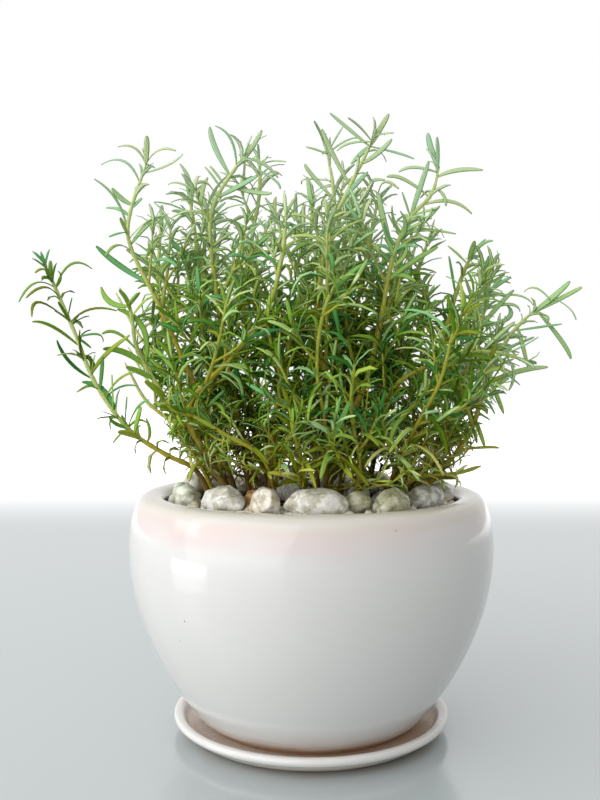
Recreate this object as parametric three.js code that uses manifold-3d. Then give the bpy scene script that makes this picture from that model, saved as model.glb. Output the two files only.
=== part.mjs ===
// A rosemary plant in a round glazed pot on its saucer, in millimetres, +Z up.
// The origin is the centre of the saucer's underside, where it rests on the table.
import * as THREE from "three";
import { mergeVertices } from "three/addons/utils/BufferGeometryUtils.js";
import { ConvexGeometry } from "three/addons/geometries/ConvexGeometry.js";
import Module from "manifold-3d";

const wasm = await Module();
wasm.setup();

// Driving dimensions.
const BELLY_R = 90; // widest radius of the pot
const RIM_Z = 117.5; // top of the pot's rim
const RIM_OUT_R = 84;
const RIM_IN_R = 72.6;
const DISH_Z = 4.5; // inside floor of the saucer, which the pot's foot stands on
const LIP_Z = 9.5; // top of the saucer's lip
const LIP_R = 68.5;
const FOOT_R = 51.5;
const DRAIN_R = 7; // drainage hole in the pot's floor
const POT_FLOOR_Z = 11.5;
const SOIL_Z = 111; // top of the soil
const GAP = 0.3; // clearance between pieces that touch
const TURNS = 36; // facets round the pot and the saucer
const SOIL_TURNS = 24; // and round the soil, which is hidden

// Leaves and stems.
const LEAF_LENGTH = 24;
const LEAF_WIDTH = 2.8;
const LEAF_THICKNESS = 1.1;
const STEM_R = 2; // half the diagonal of the square stem at the soil
const TIP_R = 1;
const SHOOT_R = 1.3; // the same where a side shoot leaves its stem
const SHOOT_TIP_R = 0.85;
const HOLE_DEPTH = 14; // how deep a stem stands in the soil
const LEAF_WAIST = 0.42; // a leaf is widest this far along
const LEAF_INSET = 0.55; // its foot lies past the stem's middle, as a share of STEM_R
const LEAF_STAGGER = 0.6; // one leaf of a pair stands this far above the other
const LEAF_SPACING = 24; // between the pairs on a stem
const SHOOT_SPACING = 19; // between the pairs on a side shoot
const TIP_ZONE = 26; // young leaves, upright and short, over this far from a tip
const LOWEST_LEAF_Z = 131; // leaves keep above the pebbles
const CLEAR = 0.6; // room kept between one stem's leaves and another's
const SEED = 11; // another value gives another plant of the same kind

const colours = {
  glaze: new THREE.MeshStandardMaterial({ color: 0xeceae6, roughness: 0.15 }),
  soil: new THREE.MeshStandardMaterial({ color: 0x4a3526, roughness: 0.95 }),
  pebble: new THREE.MeshStandardMaterial({ color: 0xd8d6cc, roughness: 0.5 }),
  plant: new THREE.MeshStandardMaterial({ color: 0x5f8a48, roughness: 0.6 }),
};

const plant = new THREE.Group();

function addPiece(name, geometry, material) {
  const mesh = new THREE.Mesh(geometry, material);
  mesh.name = name;
  plant.add(mesh);
}

// A number from 0 to 1 that depends only on its keys.
function draw(...keys) {
  let h = 0x811c9dc5 ^ SEED;
  for (const key of keys) {
    h = Math.imul(h ^ (key + 1), 0x01000193);
    h = Math.imul(h ^ (h >>> 15), 0x85ebca6b);
    h ^= h >>> 13;
  }
  return (h >>> 0) / 4294967296;
}

function between(low, high, ...keys) {
  return low + (high - low) * draw(...keys);
}

// The turn of the first pair of leaves on line k of stem s. Line 0 is the stem.
function facingOf(s, k) {
  return between(0, Math.PI, s, k);
}

// Solids for cutting and joining.

function solidOf(geometry) {
  geometry.deleteAttribute("normal");
  geometry.deleteAttribute("uv");
  const merged = mergeVertices(geometry, 1e-4);
  return new wasm.Manifold(
    new wasm.Mesh({
      numProp: 3,
      vertProperties: merged.attributes.position.array,
      triVerts: new Uint32Array(merged.index.array),
    }),
  );
}

function geometryOf(solid) {
  const mesh = solid.getMesh();
  return new THREE.BufferGeometry()
    .setAttribute("position", new THREE.BufferAttribute(mesh.vertProperties, 3))
    .setIndex(new THREE.BufferAttribute(mesh.triVerts, 1));
}

function geometryFrom(points, faces) {
  const positions = points.flatMap((p) => [p.x, p.y, p.z]);
  return new THREE.BufferGeometry()
    .setAttribute("position", new THREE.Float32BufferAttribute(positions, 3))
    .setIndex(faces);
}

// A closed skin over rings of points, each anticlockwise seen from the next one.
function loft(rings) {
  const faces = [];
  const sides = rings[0].length;
  for (let r = 1; r < rings.length; r++) {
    const start = (r - 1) * sides;
    const next = r * sides;
    for (let i = 0; i < sides; i++) {
      const j = (i + 1) % sides;
      faces.push(start + i, start + j, next + j, start + i, next + j, next + i);
    }
  }
  const end = (rings.length - 1) * sides;
  for (let i = 1; i < sides - 1; i++) faces.push(0, i + 1, i, end, end + i, end + i + 1);
  return geometryFrom(rings.flat(), faces);
}

// A body of revolution about Z from a closed outline of [radius, height].
function turned(outline, turns = TURNS) {
  const points = outline.map(([r, z]) => new THREE.Vector2(r, z));
  return new THREE.LatheGeometry(points, turns).rotateX(Math.PI / 2);
}

// The saucer: a shallow dish with a rolled lip and a flat underside.
const saucerOutline = [
  [0, 0],
  [56.5, 0],
  [60, 0.9],
  [66.6, 5.6],
  [LIP_R, 7.6],
  [LIP_R - 0.6, 9.1],
  [LIP_R - 2.2, LIP_Z],
  [LIP_R - 4.4, 8.9],
  [61.5, 5.8],
  [58, DISH_Z],
  [0, DISH_Z],
];
addPiece("saucer", turned(saucerOutline), colours.glaze);

// The pot: a globe that narrows to a foot ring, with a thick rolled-in rim and
// a drainage hole. The outline goes up the outside and down the inside.
const potOutside = [
  [FOOT_R - 6.5, DISH_Z],
  [FOOT_R - 0.9, DISH_Z],
  [FOOT_R, 5.6],
  [57, 9.6],
  [66, 21.4],
  [74.3, 35],
  [81.1, 49.4],
  [86, 63.4],
  [89, 77.6],
  [BELLY_R, 92],
  [89, 103.5],
  [86.7, 111.6],
  [RIM_OUT_R + 0.5, 115.8],
  [RIM_OUT_R - 2, RIM_Z - 0.3],
];
const potInside = [
  [RIM_IN_R + 3.6, RIM_Z],
  [RIM_IN_R + 0.8, RIM_Z - 1],
  [RIM_IN_R, RIM_Z - 3.5],
  [74.2, 109.5],
  [80.8, 102.4],
  [83.6, 91],
  [81, 70],
  [71.6, 43],
  [54, 17],
  [44, POT_FLOOR_Z],
  [DRAIN_R, POT_FLOOR_Z],
  [DRAIN_R, 6],
  [FOOT_R - 7.5, 6],
];
const potOutline = [...potOutside, ...potInside];
addPiece("pot", turned([...potOutline, potOutline[0]]), colours.glaze);

// Stems. Each has its place in the soil, the points that it passes and its tip.
// bare is the share of its length that has no leaves, and shoots counts the
// side shoots.
const stems = [
  { name: "far_left", root: [-46, -26], bare: 0.36, shoots: 0, thick: 1.15,
    route: [[-54, -32, 131], [-68, -35, 139], [-85, -36, 151], [-100, -36, 172],
      [-109, -37, 195], [-122, -38, 226]] },
  { name: "tall_left", root: [-41, -8], bare: 0.3, shoots: 2, thick: 1,
    route: [[-48, -7, 147], [-64, -6, 185], [-76, -5, 212], [-89, -3, 238],
      [-90, -2, 254], [-82, 0, 280]] },
  { name: "left_inner", root: [-38, 10], bare: 0.3, shoots: 2, thick: 0.95,
    route: [[-46, 12, 142], [-54, 14, 188], [-55, 16, 219], [-59, 18, 243],
      [-63, 20, 270]] },
  { name: "crown_left", root: [-30, -5], bare: 0.3, shoots: 2, thick: 1,
    route: [[-36, -3, 153], [-44, -1, 198], [-50, 1, 240], [-48, 2, 262],
      [-31, 5, 289]] },
  { name: "crown_slim", root: [-22, 30], bare: 0.3, shoots: 2, thick: 0.9,
    route: [[-32, 26, 162], [-35, 27, 215], [-31, 28, 247], [-27, 29, 271],
      [-27, 30, 291]] },
  { name: "arch_left", root: [-34, -30], bare: 0.2, shoots: 1, thick: 1.05,
    route: [[-50, -34, 140], [-57, -33, 161], [-37, -32, 184], [-21, -32, 205],
      [-14, -31, 230], [-12, -30, 250]] },
  { name: "front_left", root: [-15, -33], bare: 0.22, shoots: 0, thick: 0.9,
    route: [[-22, -50, 138], [-38, -54, 149], [-55, -57, 159], [-69, -60, 164]] },
  { name: "centre_tall", root: [8, -14], bare: 0.25, shoots: 2, thick: 1.2,
    route: [[11, -11, 144], [9, -10, 163], [3, -9, 195], [4, -8, 218],
      [8, -8, 243], [18, -7, 266], [31, -5, 292]] },
  { name: "centre_back", root: [4, 20], bare: 0.3, shoots: 2, thick: 0.95,
    route: [[1, 23, 162], [4, 26, 215], [12, 29, 253], [12, 31, 275], [9, 34, 293]] },
  { name: "crown_right", root: [0, -22], bare: 0.25, shoots: 2, thick: 1.15,
    route: [[6, -20, 137], [24, -17, 166], [33, -16, 200], [38, -15, 227],
      [46, -13, 249], [58, -11, 263], [62, -10, 276]] },
  { name: "right_inner", root: [38, 8], bare: 0.3, shoots: 2, thick: 0.95,
    route: [[56, 10, 147], [64, 14, 178], [73, 19, 209], [80, 23, 229],
      [86, 25, 241]] },
  { name: "right_fork", root: [50, 16], bare: 0.3, shoots: 1, thick: 0.95,
    route: [[70, 15, 144], [81, 15, 180], [89, 16, 207], [94, 18, 232]] },
  { name: "far_right", root: [50, -10], bare: 0.22, shoots: 2, thick: 1.1,
    route: [[75, -14, 144], [83, -15, 166], [92, -17, 189], [103, -18, 203],
      [118, -20, 214]] },
  { name: "right_arm", root: [21, -25], bare: 0.2, shoots: 1, thick: 1.1,
    route: [[28, -29, 150], [39, -33, 171], [64, -37, 184], [82, -41, 186],
      [98, -44, 182]] },
  { name: "low_right", root: [49, 0], bare: 0.25, shoots: 0, thick: 0.75,
    route: [[60, 1, 132], [72, 3, 141], [82, 4, 149]] },
  { name: "creeping", root: [40, -34], bare: 0.15, shoots: 0, thick: 0.7,
    route: [[46, -31, 126], [58, -25, 128], [71, -18, 128.5], [83, -11, 131]] },
  { name: "front_mid", root: [17, -37], bare: 0.2, shoots: 0, thick: 0.8,
    route: [[21, -52, 134], [17, -58, 160], [18, -62, 181]] },
  { name: "front_tuft", root: [-3, -36], bare: 0.2, shoots: 0, thick: 0.75,
    route: [[-4, -49, 133], [-8, -57, 149], [-10, -61, 162]] },
  { name: "fork_mid", root: [-20, -24], bare: 0.3, shoots: 2, thick: 1,
    route: [[-18, -26, 150], [-13, -28, 179], [-9, -29, 195], [1, -31, 213]] },
  { name: "left_slim", root: [-44, -17], bare: 0.3, shoots: 1, thick: 0.85,
    route: [[-60, -20, 146], [-73, -21, 170], [-83, -21, 187], [-86, -22, 206],
      [-91, -23, 217]] },
  { name: "left_low", root: [-48, 2], bare: 0.25, shoots: 1, thick: 0.85,
    route: [[-60, 6, 143], [-70, 10, 165], [-77, 14, 186], [-82, 18, 204]] },
  { name: "back_left", root: [-28, 38], bare: 0.3, shoots: 2, thick: 0.95,
    route: [[-42, 46, 160], [-56, 54, 205], [-60, 60, 240], [-56, 64, 266]] },
  { name: "back_far_left", root: [-42, 22], bare: 0.25, shoots: 2, thick: 0.95,
    route: [[-60, 30, 150], [-76, 38, 188], [-83, 44, 222], [-82, 48, 254]] },
  { name: "back_mid", root: [-4, 42], bare: 0.3, shoots: 2, thick: 0.95,
    route: [[-8, 54, 165], [-6, 64, 215], [0, 70, 250], [2, 74, 280]] },
  { name: "back_right", root: [24, 36], bare: 0.3, shoots: 2, thick: 0.95,
    route: [[36, 46, 160], [45, 56, 203], [49, 62, 232], [54, 66, 255]] },
  { name: "back_far_right", root: [40, 24], bare: 0.25, shoots: 2, thick: 0.9,
    route: [[62, 34, 150], [80, 42, 186], [90, 48, 214], [104, 52, 234]] },
  { name: "rear_left", root: [-14, 46], bare: 0.2, shoots: 1, thick: 0.85,
    route: [[-26, 68, 145], [-36, 84, 180], [-38, 94, 210], [-36, 100, 232]] },
  { name: "rear_right", root: [12, 46], bare: 0.2, shoots: 1, thick: 0.85,
    route: [[22, 68, 145], [30, 86, 178], [32, 96, 208], [38, 102, 230]] },
  { name: "mid_right", root: [28, 6], bare: 0.3, shoots: 2, thick: 0.95,
    route: [[38, 8, 160], [46, 10, 198], [54, 13, 226], [61, 16, 246]] },
  { name: "front_right", root: [33, -18], bare: 0.2, shoots: 1, thick: 0.9,
    route: [[44, -42, 146], [56, -54, 172], [62, -60, 196], [72, -64, 214]] },
  { name: "front_centre", root: [6, -31], bare: 0.2, shoots: 1, thick: 0.85,
    route: [[6, -48, 150], [2, -58, 178], [4, -64, 200], [10, -68, 216]] },
  { name: "crown_mid", root: [15, 9], bare: 0.3, shoots: 2, thick: 0.95,
    route: [[20, 16, 162], [24, 20, 209], [30, 21, 241], [35, 22, 267]] },
  { name: "crown_back", root: [10, 32], bare: 0.3, shoots: 1, thick: 0.9,
    route: [[12, 38, 162], [15, 42, 211], [18, 44, 244], [22, 46, 266]] },
];

const UP = new THREE.Vector3(0, 0, 1);
const BACK = new THREE.Vector3(0, 1, 0);
const GOLDEN_TURN = 2.39996;

// A smooth line through points, made of straight steps.
function steppedLine(points, steps) {
  const stops = new THREE.CatmullRomCurve3(points, false, "catmullrom", 0.5).getPoints(steps);
  const path = new THREE.CurvePath();
  for (let i = 1; i <= steps; i++) path.add(new THREE.LineCurve3(stops[i - 1], stops[i]));
  return { stops, path, length: path.getLength() };
}

// Two directions across a stem whose way is along: the first is level.
function across(along) {
  const level = new THREE.Vector3().crossVectors(BACK, along).normalize();
  return [level, new THREE.Vector3().crossVectors(along, level)];
}

function outwards(along, turn) {
  const [level, other] = across(along);
  return level.multiplyScalar(Math.cos(turn)).addScaledVector(other, Math.sin(turn));
}

// A square section, one of whose flat sides looks outwards at the turn facing.
function squareAt(centre, along, radius, facing) {
  return [1, 3, 5, 7].map((eighths) => {
    const corner = outwards(along, facing + (eighths * Math.PI) / 4);
    return centre.clone().addScaledVector(corner, radius);
  });
}

// The sections of a tapered square stem along a stepped line.
function stemRings(line, startR, endR, facing) {
  const last = line.stops.length - 1;
  return line.stops.map((stop, i) => {
    const before = line.stops[Math.max(0, i - 1)];
    const after = line.stops[Math.min(last, i + 1)];
    const along = after.clone().sub(before).normalize();
    return squareAt(stop, along, THREE.MathUtils.lerp(startR, endR, i / last), facing);
  });
}

// What each stem fills, as rods with a radius, so that the others keep clear.
const rods = [];

function addRods(points, radius, owner) {
  for (let i = 1; i < points.length; i++)
    rods.push({ line: new THREE.Line3(points[i - 1], points[i]), radius, owner });
}

// Points close together along a line of straight steps.
function closePoints(points) {
  const made = [];
  for (let i = 1; i < points.length; i++) {
    const parts = Math.ceil(points[i].distanceTo(points[i - 1]) / 2);
    for (let k = 1; k <= parts; k++) made.push(points[i - 1].clone().lerp(points[i], k / parts));
  }
  return made;
}

// True if points, with radius round them, keep away from the rods of other stems.
function keepsClear(points, radius, owner) {
  const nearest = new THREE.Vector3();
  return rods.every((rod) => {
    if (rod.owner === owner) return true;
    const least = radius + rod.radius + CLEAR;
    return points.every(
      (p) => rod.line.closestPointToPoint(p, true, nearest).distanceTo(p) >= least,
    );
  });
}

// The stems' own lines come first, and their side shoots keep clear of them.
stems.forEach((stem, s) => {
  const collar = new THREE.Vector3(...stem.root, SOIL_Z + 2);
  const points = [collar, ...stem.route.map((p) => new THREE.Vector3(...p))];
  stem.radius = STEM_R * stem.thick;
  stem.line = steppedLine(points, stem.route.length + 3);
  addRods(stem.line.stops, stem.radius, s);
});

const FIRST_SHOOT = 0.34; // how far up its stem the lowest side shoot starts
const NEXT_SHOOT = 0.22; // and how much further the next one

// Side shoot number k of stem s: it leaves the stem slantwise and turns upwards.
function shootLine(s, k, turn) {
  const { path, length } = stems[s].line;
  const at = FIRST_SHOOT + NEXT_SHOOT * k + between(-0.05, 0.05, s, k, 1);
  const start = path.getPoint(at);
  const along = path.getTangent(at);
  const way = along
    .clone()
    .multiplyScalar(0.75)
    .addScaledVector(outwards(along, turn), 0.66)
    .normalize();
  const half = length * (1 - at) * between(0.25, 0.34, s, k, 2);
  const elbow = start.clone().addScaledVector(way, half);
  const rise = way.clone().addScaledVector(UP, 0.7).normalize();
  return steppedLine([start, elbow, elbow.clone().addScaledVector(rise, half)], 3);
}

const SHOOT_TRIES = 9;
const LEAF_TRIES = 7;
stems.forEach((stem, s) => {
  stem.sides = [];
  for (let k = 0; k < stem.shoots; k++) {
    for (let attempt = 0; attempt < SHOOT_TRIES; attempt++) {
      const line = shootLine(s, k, GOLDEN_TURN * (s + 2 * k) + attempt * 0.7);
      if (line.stops.at(-1).z < LOWEST_LEAF_Z + 8) continue;
      if (!keepsClear(closePoints(line.stops), SHOOT_R, s)) continue;
      stem.sides.push(line);
      addRods(line.stops, SHOOT_R, s);
      break;
    }
  }
});

// One leaf: a blade with three edges, pointed at both ends, that starts inside
// its stem and bends away from it. opening is its angle to the stem and bend how
// much further its outer part turns.
function leafShape(root, inset, along, turn, opening, bend, length) {
  const out = outwards(along, turn);
  const wayAt = (angle) =>
    along.clone().multiplyScalar(Math.cos(angle)).addScaledVector(out, Math.sin(angle));
  const first = wayAt(opening);
  const second = wayAt(opening + bend).addScaledVector(UP, -0.12).normalize();
  const foot = root.clone().addScaledVector(out, -inset);
  const middle = root.clone().addScaledVector(first, length * LEAF_WAIST);
  const tip = middle.clone().addScaledVector(second, length * (1 - LEAF_WAIST));
  const side = new THREE.Vector3().crossVectors(along, out).normalize();
  const under = new THREE.Vector3().crossVectors(side, first).normalize();
  const widest = [
    middle.clone().addScaledVector(side, -LEAF_WIDTH / 2),
    middle.clone().addScaledVector(under, LEAF_THICKNESS),
    middle.clone().addScaledVector(side, LEAF_WIDTH / 2),
  ];
  return { foot, widest, tip, spine: [root, middle, tip] };
}

function leafSolid({ foot, widest, tip }) {
  const faces = [0, 2, 1, 0, 3, 2, 0, 1, 3, 4, 1, 2, 4, 2, 3, 4, 3, 1];
  return solidOf(geometryFrom([foot, ...widest, tip], faces));
}

// Adds the leaves of one leafy line: pairs at right angles to the pair below.
function addLeaves(line, radii, bare, spacing, s, k, pieces) {
  const length = line.length * (1 - bare);
  const pairs = Math.max(2, Math.round(length / spacing));
  for (let i = 0; i < pairs; i++) {
    const youth = Math.max(0, 1 - ((i / pairs) * length) / TIP_ZONE);
    for (const half of [0, 1]) {
      const at = bare + (1 - bare) * (1 - i / pairs) - (LEAF_STAGGER * (1 + half)) / line.length;
      const root = line.path.getPoint(at);
      const along = line.path.getTangent(at);
      const inset = LEAF_INSET * THREE.MathUtils.lerp(...radii, at);
      const opening = 0.9 - 0.5 * youth + between(-0.12, 0.12, s, k, i, half, 1);
      const bend = 0.65 - 0.45 * youth + between(-0.25, 0.25, s, k, i, half, 2);
      const size = LEAF_LENGTH * (1 - 0.35 * youth) * between(0.85, 1.12, s, k, i, half, 3);
      for (let attempt = 0; attempt < LEAF_TRIES; attempt++) {
        const swing = Math.ceil(attempt / 2) * 0.3 * (attempt % 2 ? 1 : -1);
        const turn = facingOf(s, k) + (i * Math.PI) / 2 + half * Math.PI + swing;
        const leaf = leafShape(root, inset, along, turn, opening, bend, size);
        const points = closePoints(leaf.spine);
        if (points.some((p) => p.z < LOWEST_LEAF_Z)) continue;
        if (!keepsClear(points, LEAF_WIDTH / 2, s)) continue;
        pieces.push(leafSolid(leaf));
        addRods(leaf.spine, LEAF_WIDTH / 2, s);
        break;
      }
    }
  }
}

stems.forEach((stem, s) => {
  const facing = facingOf(s, 0);
  const rings = stemRings(stem.line, stem.radius, TIP_R, facing);
  const [x, y] = stem.root;
  rings[0] = squareAt(new THREE.Vector3(x, y, SOIL_Z + 2), UP, stem.radius, facing);
  const foot = new THREE.Vector3(x, y, SOIL_Z - HOLE_DEPTH + GAP);
  rings.unshift(squareAt(foot, UP, stem.radius, facing));
  const pieces = [solidOf(loft(rings))];
  addLeaves(stem.line, [stem.radius, TIP_R], stem.bare, LEAF_SPACING, s, 0, pieces);
  stem.sides.forEach((line, j) => {
    const k = j + 1;
    const shoot = stemRings(line, SHOOT_R, SHOOT_TIP_R, facingOf(s, k));
    pieces.push(solidOf(loft(shoot)));
    addLeaves(line, [SHOOT_R, SHOOT_TIP_R], 0.25, SHOOT_SPACING, s, k, pieces);
  });
  const whole = pieces.reduce((joined, piece) => joined.add(piece));
  addPiece("stem_" + stem.name, geometryOf(whole), colours.plant);
});

// The soil fills the pot up to under its rim, with a hole for each stem.
const soilOutline = [
  [0, POT_FLOOR_Z + GAP],
  [43, POT_FLOOR_Z + GAP],
  [53, 17 + GAP],
  [70.6, 43 + GAP],
  [80, 70],
  [82.6, 91],
  [79.8, 102],
  [73.2, 109.4],
  [RIM_IN_R + 0.3 - 2 * GAP, SOIL_Z],
  [0, SOIL_Z],
];
let soil = solidOf(turned(soilOutline, SOIL_TURNS));
for (const stem of stems) {
  const hole = new THREE.CylinderGeometry(1, 1, 2 * HOLE_DEPTH, 6).rotateX(Math.PI / 2);
  const radius = stem.radius + 0.7;
  hole.scale(radius, radius, 1).translate(...stem.root, SOIL_Z);
  soil = soil.subtract(solidOf(hole));
}
addPiece("soil", geometryOf(soil), colours.soil);

// White pebbles on the soil: [x, y, width, depth, height, turn in degrees].
const pebbles = [
  [-40, -46, 25, 17, 16, -38],
  [-21, -58, 15, 14, 17, -20],
  [2.5, -59, 32, 20, 17, 2],
  [20.5, -50, 15, 12, 14, 30],
  [36, -52, 22, 15, 16, 35],
  [53, -32.5, 27, 17, 15, 55],
  [64, -8, 20, 14, 13, 84],
  [62, 12, 20, 14, 14, 100],
  [53, 34, 22, 16, 15, 122],
  [35, 51, 21, 16, 13, 145],
  [13.5, 61, 20, 15, 14, 168],
  [-8.5, 62, 20, 15, 15, 188],
  [-30, 54.5, 21, 16, 13, 208],
  [-49, 39.5, 22, 15, 14, 230],
  [-60.5, 19, 19, 15, 15, 252],
  [-64, -1, 17, 13, 13, 270],
  [-60, -24, 17, 13, 14, 300],
  [-26, -39, 12, 10, 13, 15],
  [44, -20, 11, 10, 11, 50],
  [-12, 7, 15, 13, 13, 20],
  [16, 24, 12, 11, 11, 70],
  [-10, 29, 13, 11, 12, 110],
  [-9, -9, 13, 11, 12, 150],
  [23.5, -8, 13, 11, 12, 10],
];
const PEBBLE_POINTS = 20;
pebbles.forEach(([x, y, width, depth, height, turn], n) => {
  const points = Array.from({ length: PEBBLE_POINTS }, (_, i) => {
    const up = 1 - (2 * i + 1) / PEBBLE_POINTS;
    const round = Math.sqrt(1 - up * up);
    const a = GOLDEN_TURN * i + draw(n, 7);
    const bulge = between(0.88, 1, n, i);
    return new THREE.Vector3(round * Math.cos(a), round * Math.sin(a), up).multiplyScalar(bulge);
  });
  const stone = new ConvexGeometry(points);
  stone.scale(width / 2, depth / 2, height / 2).rotateZ(THREE.MathUtils.degToRad(turn));
  stone.computeBoundingBox();
  stone.translate(x, y, SOIL_Z + GAP - stone.boundingBox.min.z);
  addPiece("pebble_" + String(n + 1).padStart(2, "0"), stone, colours.pebble);
});

export default plant;
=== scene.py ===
import math

import bmesh
import bpy
import numpy as np
from mathutils import Matrix, Vector, noise


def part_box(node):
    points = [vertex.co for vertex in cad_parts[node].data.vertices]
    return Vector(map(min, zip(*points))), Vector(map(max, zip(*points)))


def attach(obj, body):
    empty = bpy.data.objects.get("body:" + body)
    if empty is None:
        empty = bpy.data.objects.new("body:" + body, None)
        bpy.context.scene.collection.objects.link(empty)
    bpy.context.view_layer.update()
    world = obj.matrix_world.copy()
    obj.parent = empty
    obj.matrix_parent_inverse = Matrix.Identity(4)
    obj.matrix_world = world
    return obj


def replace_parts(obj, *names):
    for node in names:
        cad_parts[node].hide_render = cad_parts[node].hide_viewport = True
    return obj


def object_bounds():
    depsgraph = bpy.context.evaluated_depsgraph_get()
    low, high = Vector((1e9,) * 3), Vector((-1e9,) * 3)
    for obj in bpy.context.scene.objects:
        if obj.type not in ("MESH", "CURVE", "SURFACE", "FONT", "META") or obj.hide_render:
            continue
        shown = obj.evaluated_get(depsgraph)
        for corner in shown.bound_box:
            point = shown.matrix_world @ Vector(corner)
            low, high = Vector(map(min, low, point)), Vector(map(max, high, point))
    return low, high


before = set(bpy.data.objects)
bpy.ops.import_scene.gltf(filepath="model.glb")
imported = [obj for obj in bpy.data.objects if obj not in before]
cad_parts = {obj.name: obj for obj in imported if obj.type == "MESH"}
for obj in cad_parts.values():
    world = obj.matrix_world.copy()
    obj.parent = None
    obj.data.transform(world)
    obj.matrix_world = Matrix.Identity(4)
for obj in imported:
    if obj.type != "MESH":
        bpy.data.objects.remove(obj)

# The whole plant's box as the frame has it, which the foliage built here is kept inside.
cad_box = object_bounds()
MM = 0.001

# The view. The photograph was taken close to the plant and a little above the pot's rim,
# so the camera stands under half a metre away and looks slightly down.
PHOTO_WIDTH, PHOTO_HEIGHT = 600, 800  # pixels
SENSOR, LENS = 36, 41.85  # mm
LOOK_DOWN = math.radians(1.72)
CAMERA_PLACE = np.array([-5.5, -465, 177])  # mm


def added(name, data):
    """A new object, put into the scene."""
    made = bpy.data.objects.new(name, data)
    bpy.context.scene.collection.objects.link(made)
    return made


camera = added("camera", bpy.data.cameras.new("camera"))
camera.data.sensor_width = SENSOR
camera.data.lens = LENS
camera.data.clip_start = 10 * MM
camera.location = CAMERA_PLACE * MM
camera.rotation_euler = (math.pi / 2 - LOOK_DOWN, 0, 0)
bpy.context.scene.camera = camera

# The saucer. It is a shallow dish of white glazed earthenware with a rolled lip, turned
# on a wheel. It is tan in the trough round the pot's foot, with painted shade darkening
# the tan towards the right.
SAUCER_TURNS, SAUCER_STEPS = 160, 5
SAUCER_UNDERSIDE = [(0, 0), (40, 0), (55.5, 0)]  # (radius, height) in mm, as all outlines
SAUCER_WALL = [
    (56.5, 0), (60, 0.9), (63.8, 3.2), (66.3, 5.1), (66.9, 5.5), (67.8, 6.2), (68.5, 7.6),
    (67.9, 9.1), (66.3, 9.5), (64.1, 8.9), (61.5, 5.8), (58, 4.6),
]
SAUCER_FLOOR = [(56, 4.5), (44, 4.5), (20, 4.5), (0, 4.5)]


class Wire:
    """A value in a finish. A sum written with it adds Math nodes."""

    def __init__(self, finish, socket):
        self.finish = finish
        self.socket = socket

    def __add__(self, other):
        return self.finish.maths("ADD", self, other)

    def __mul__(self, other):
        return self.finish.maths("MULTIPLY", self, other)

    def __sub__(self, other):
        return self.finish.maths("SUBTRACT", self, other)

    def __rsub__(self, other):
        return self.finish.maths("SUBTRACT", other, self)

    def __pow__(self, other):
        return self.finish.maths("POWER", self, other)

    def __abs__(self):
        return self.finish.maths("ABSOLUTE", self)

    __radd__ = __add__
    __rmul__ = __mul__


class Finish:
    """A procedural material, or a world. Its constant values are given by socket name."""

    def __init__(self, name, constants, kind=bpy.data.materials, shader="Principled BSDF"):
        self.made = kind.new(name)
        self.made.use_nodes = True
        self.tree = self.made.node_tree
        self.shader = self.tree.nodes[shader]
        for socket, value in constants.items():
            self.shader.inputs[socket].default_value = value

    def node(self, kind, settings, sockets, output=0):
        made = self.tree.nodes.new(kind)
        for key, value in settings.items():
            setattr(made, key, value)
        for key, value in sockets.items():
            if isinstance(value, Wire):
                self.tree.links.new(value.socket, made.inputs[key])
            else:
                made.inputs[key].default_value = value
        return Wire(self, made.outputs[output])

    def place(self):
        return self.node("ShaderNodeTexCoord", {}, {}, "Object")

    def part(self, vector, axis):
        return self.node("ShaderNodeSeparateXYZ", {}, {0: vector}, axis)

    def from_axis(self):
        """How far a place is from the pot's axis."""
        level = self.stretched(1, 1, 0)
        return self.node("ShaderNodeVectorMath", {"operation": "LENGTH"}, {0: level}, "Value")

    def stretched(self, *scales):
        """The place with each of its coordinates times its scale."""
        sockets = {0: self.place(), 1: scales}
        return self.node("ShaderNodeVectorMath", {"operation": "MULTIPLY"}, sockets)

    def maths(self, operation, *values):
        return self.node("ShaderNodeMath", {"operation": operation}, dict(enumerate(values)))

    def larger(self, first, second):
        return self.maths("MAXIMUM", first, second)

    def attribute(self, name, output):
        return self.node("ShaderNodeAttribute", {"attribute_name": name}, {}, output)

    def grain(self, scale, detail=2.0, vector=None):
        """Noise round 0.5, with scale in bumps a metre."""
        sockets = {"Vector": vector or self.place(), "Scale": scale, "Detail": detail}
        return self.node("ShaderNodeTexNoise", {}, sockets)

    def ease(self, value, low, high):
        """0 up to low, 1 from high, and smooth between them."""
        settings = {"interpolation_type": "SMOOTHSTEP"}
        return self.node("ShaderNodeMapRange", settings, {0: value, 1: low, 2: high})

    def rise(self, value, span):
        """0 below a span in mm, 1 above it, and smooth across it."""
        return self.ease(value, span[0] * MM, span[1] * MM)

    def mix(self, share, first, second):
        """The colour first, with share of the colour second."""
        sockets = {0: share}
        for key, colour in ((6, first), (7, second)):
            sockets[key] = colour if isinstance(colour, Wire) else (*colour, 1)
        return self.node("ShaderNodeMix", {"data_type": "RGBA"}, sockets, 2)

    def bump(self, relief, depth):
        """Relief from 0 to 1, raised by depth in mm."""
        return self.node("ShaderNodeBump", {}, {"Height": relief, "Distance": depth * MM})

    def done(self, links):
        for socket, wire in links.items():
            self.tree.links.new(wire.socket, self.shader.inputs[socket])
        return self.made


def curve_through(points, steps):
    """A smooth line through points, as steps pieces of even parameter."""
    points = np.array(points, float)
    held = np.vstack([2 * points[0] - points[1], points, 2 * points[-1] - points[-2]])
    spans = len(points) - 1
    along = np.linspace(0, spans, steps + 1)
    span = np.minimum(along.astype(int), spans - 1)
    t = (along - span)[:, None]
    before, start, end, after = (held[span + k] for k in range(4))
    leaving, arriving = (end - before) / 2, (after - start) / 2
    square = 3 * (end - start) - 2 * leaving - arriving
    cube = 2 * (start - end) + leaving + arriving
    return start + t * leaving + t**2 * square + t**3 * cube


def smoothed(points, each):
    """A smooth line with so many short steps from each point to the next."""
    return curve_through(points, each * (len(points) - 1))


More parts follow.
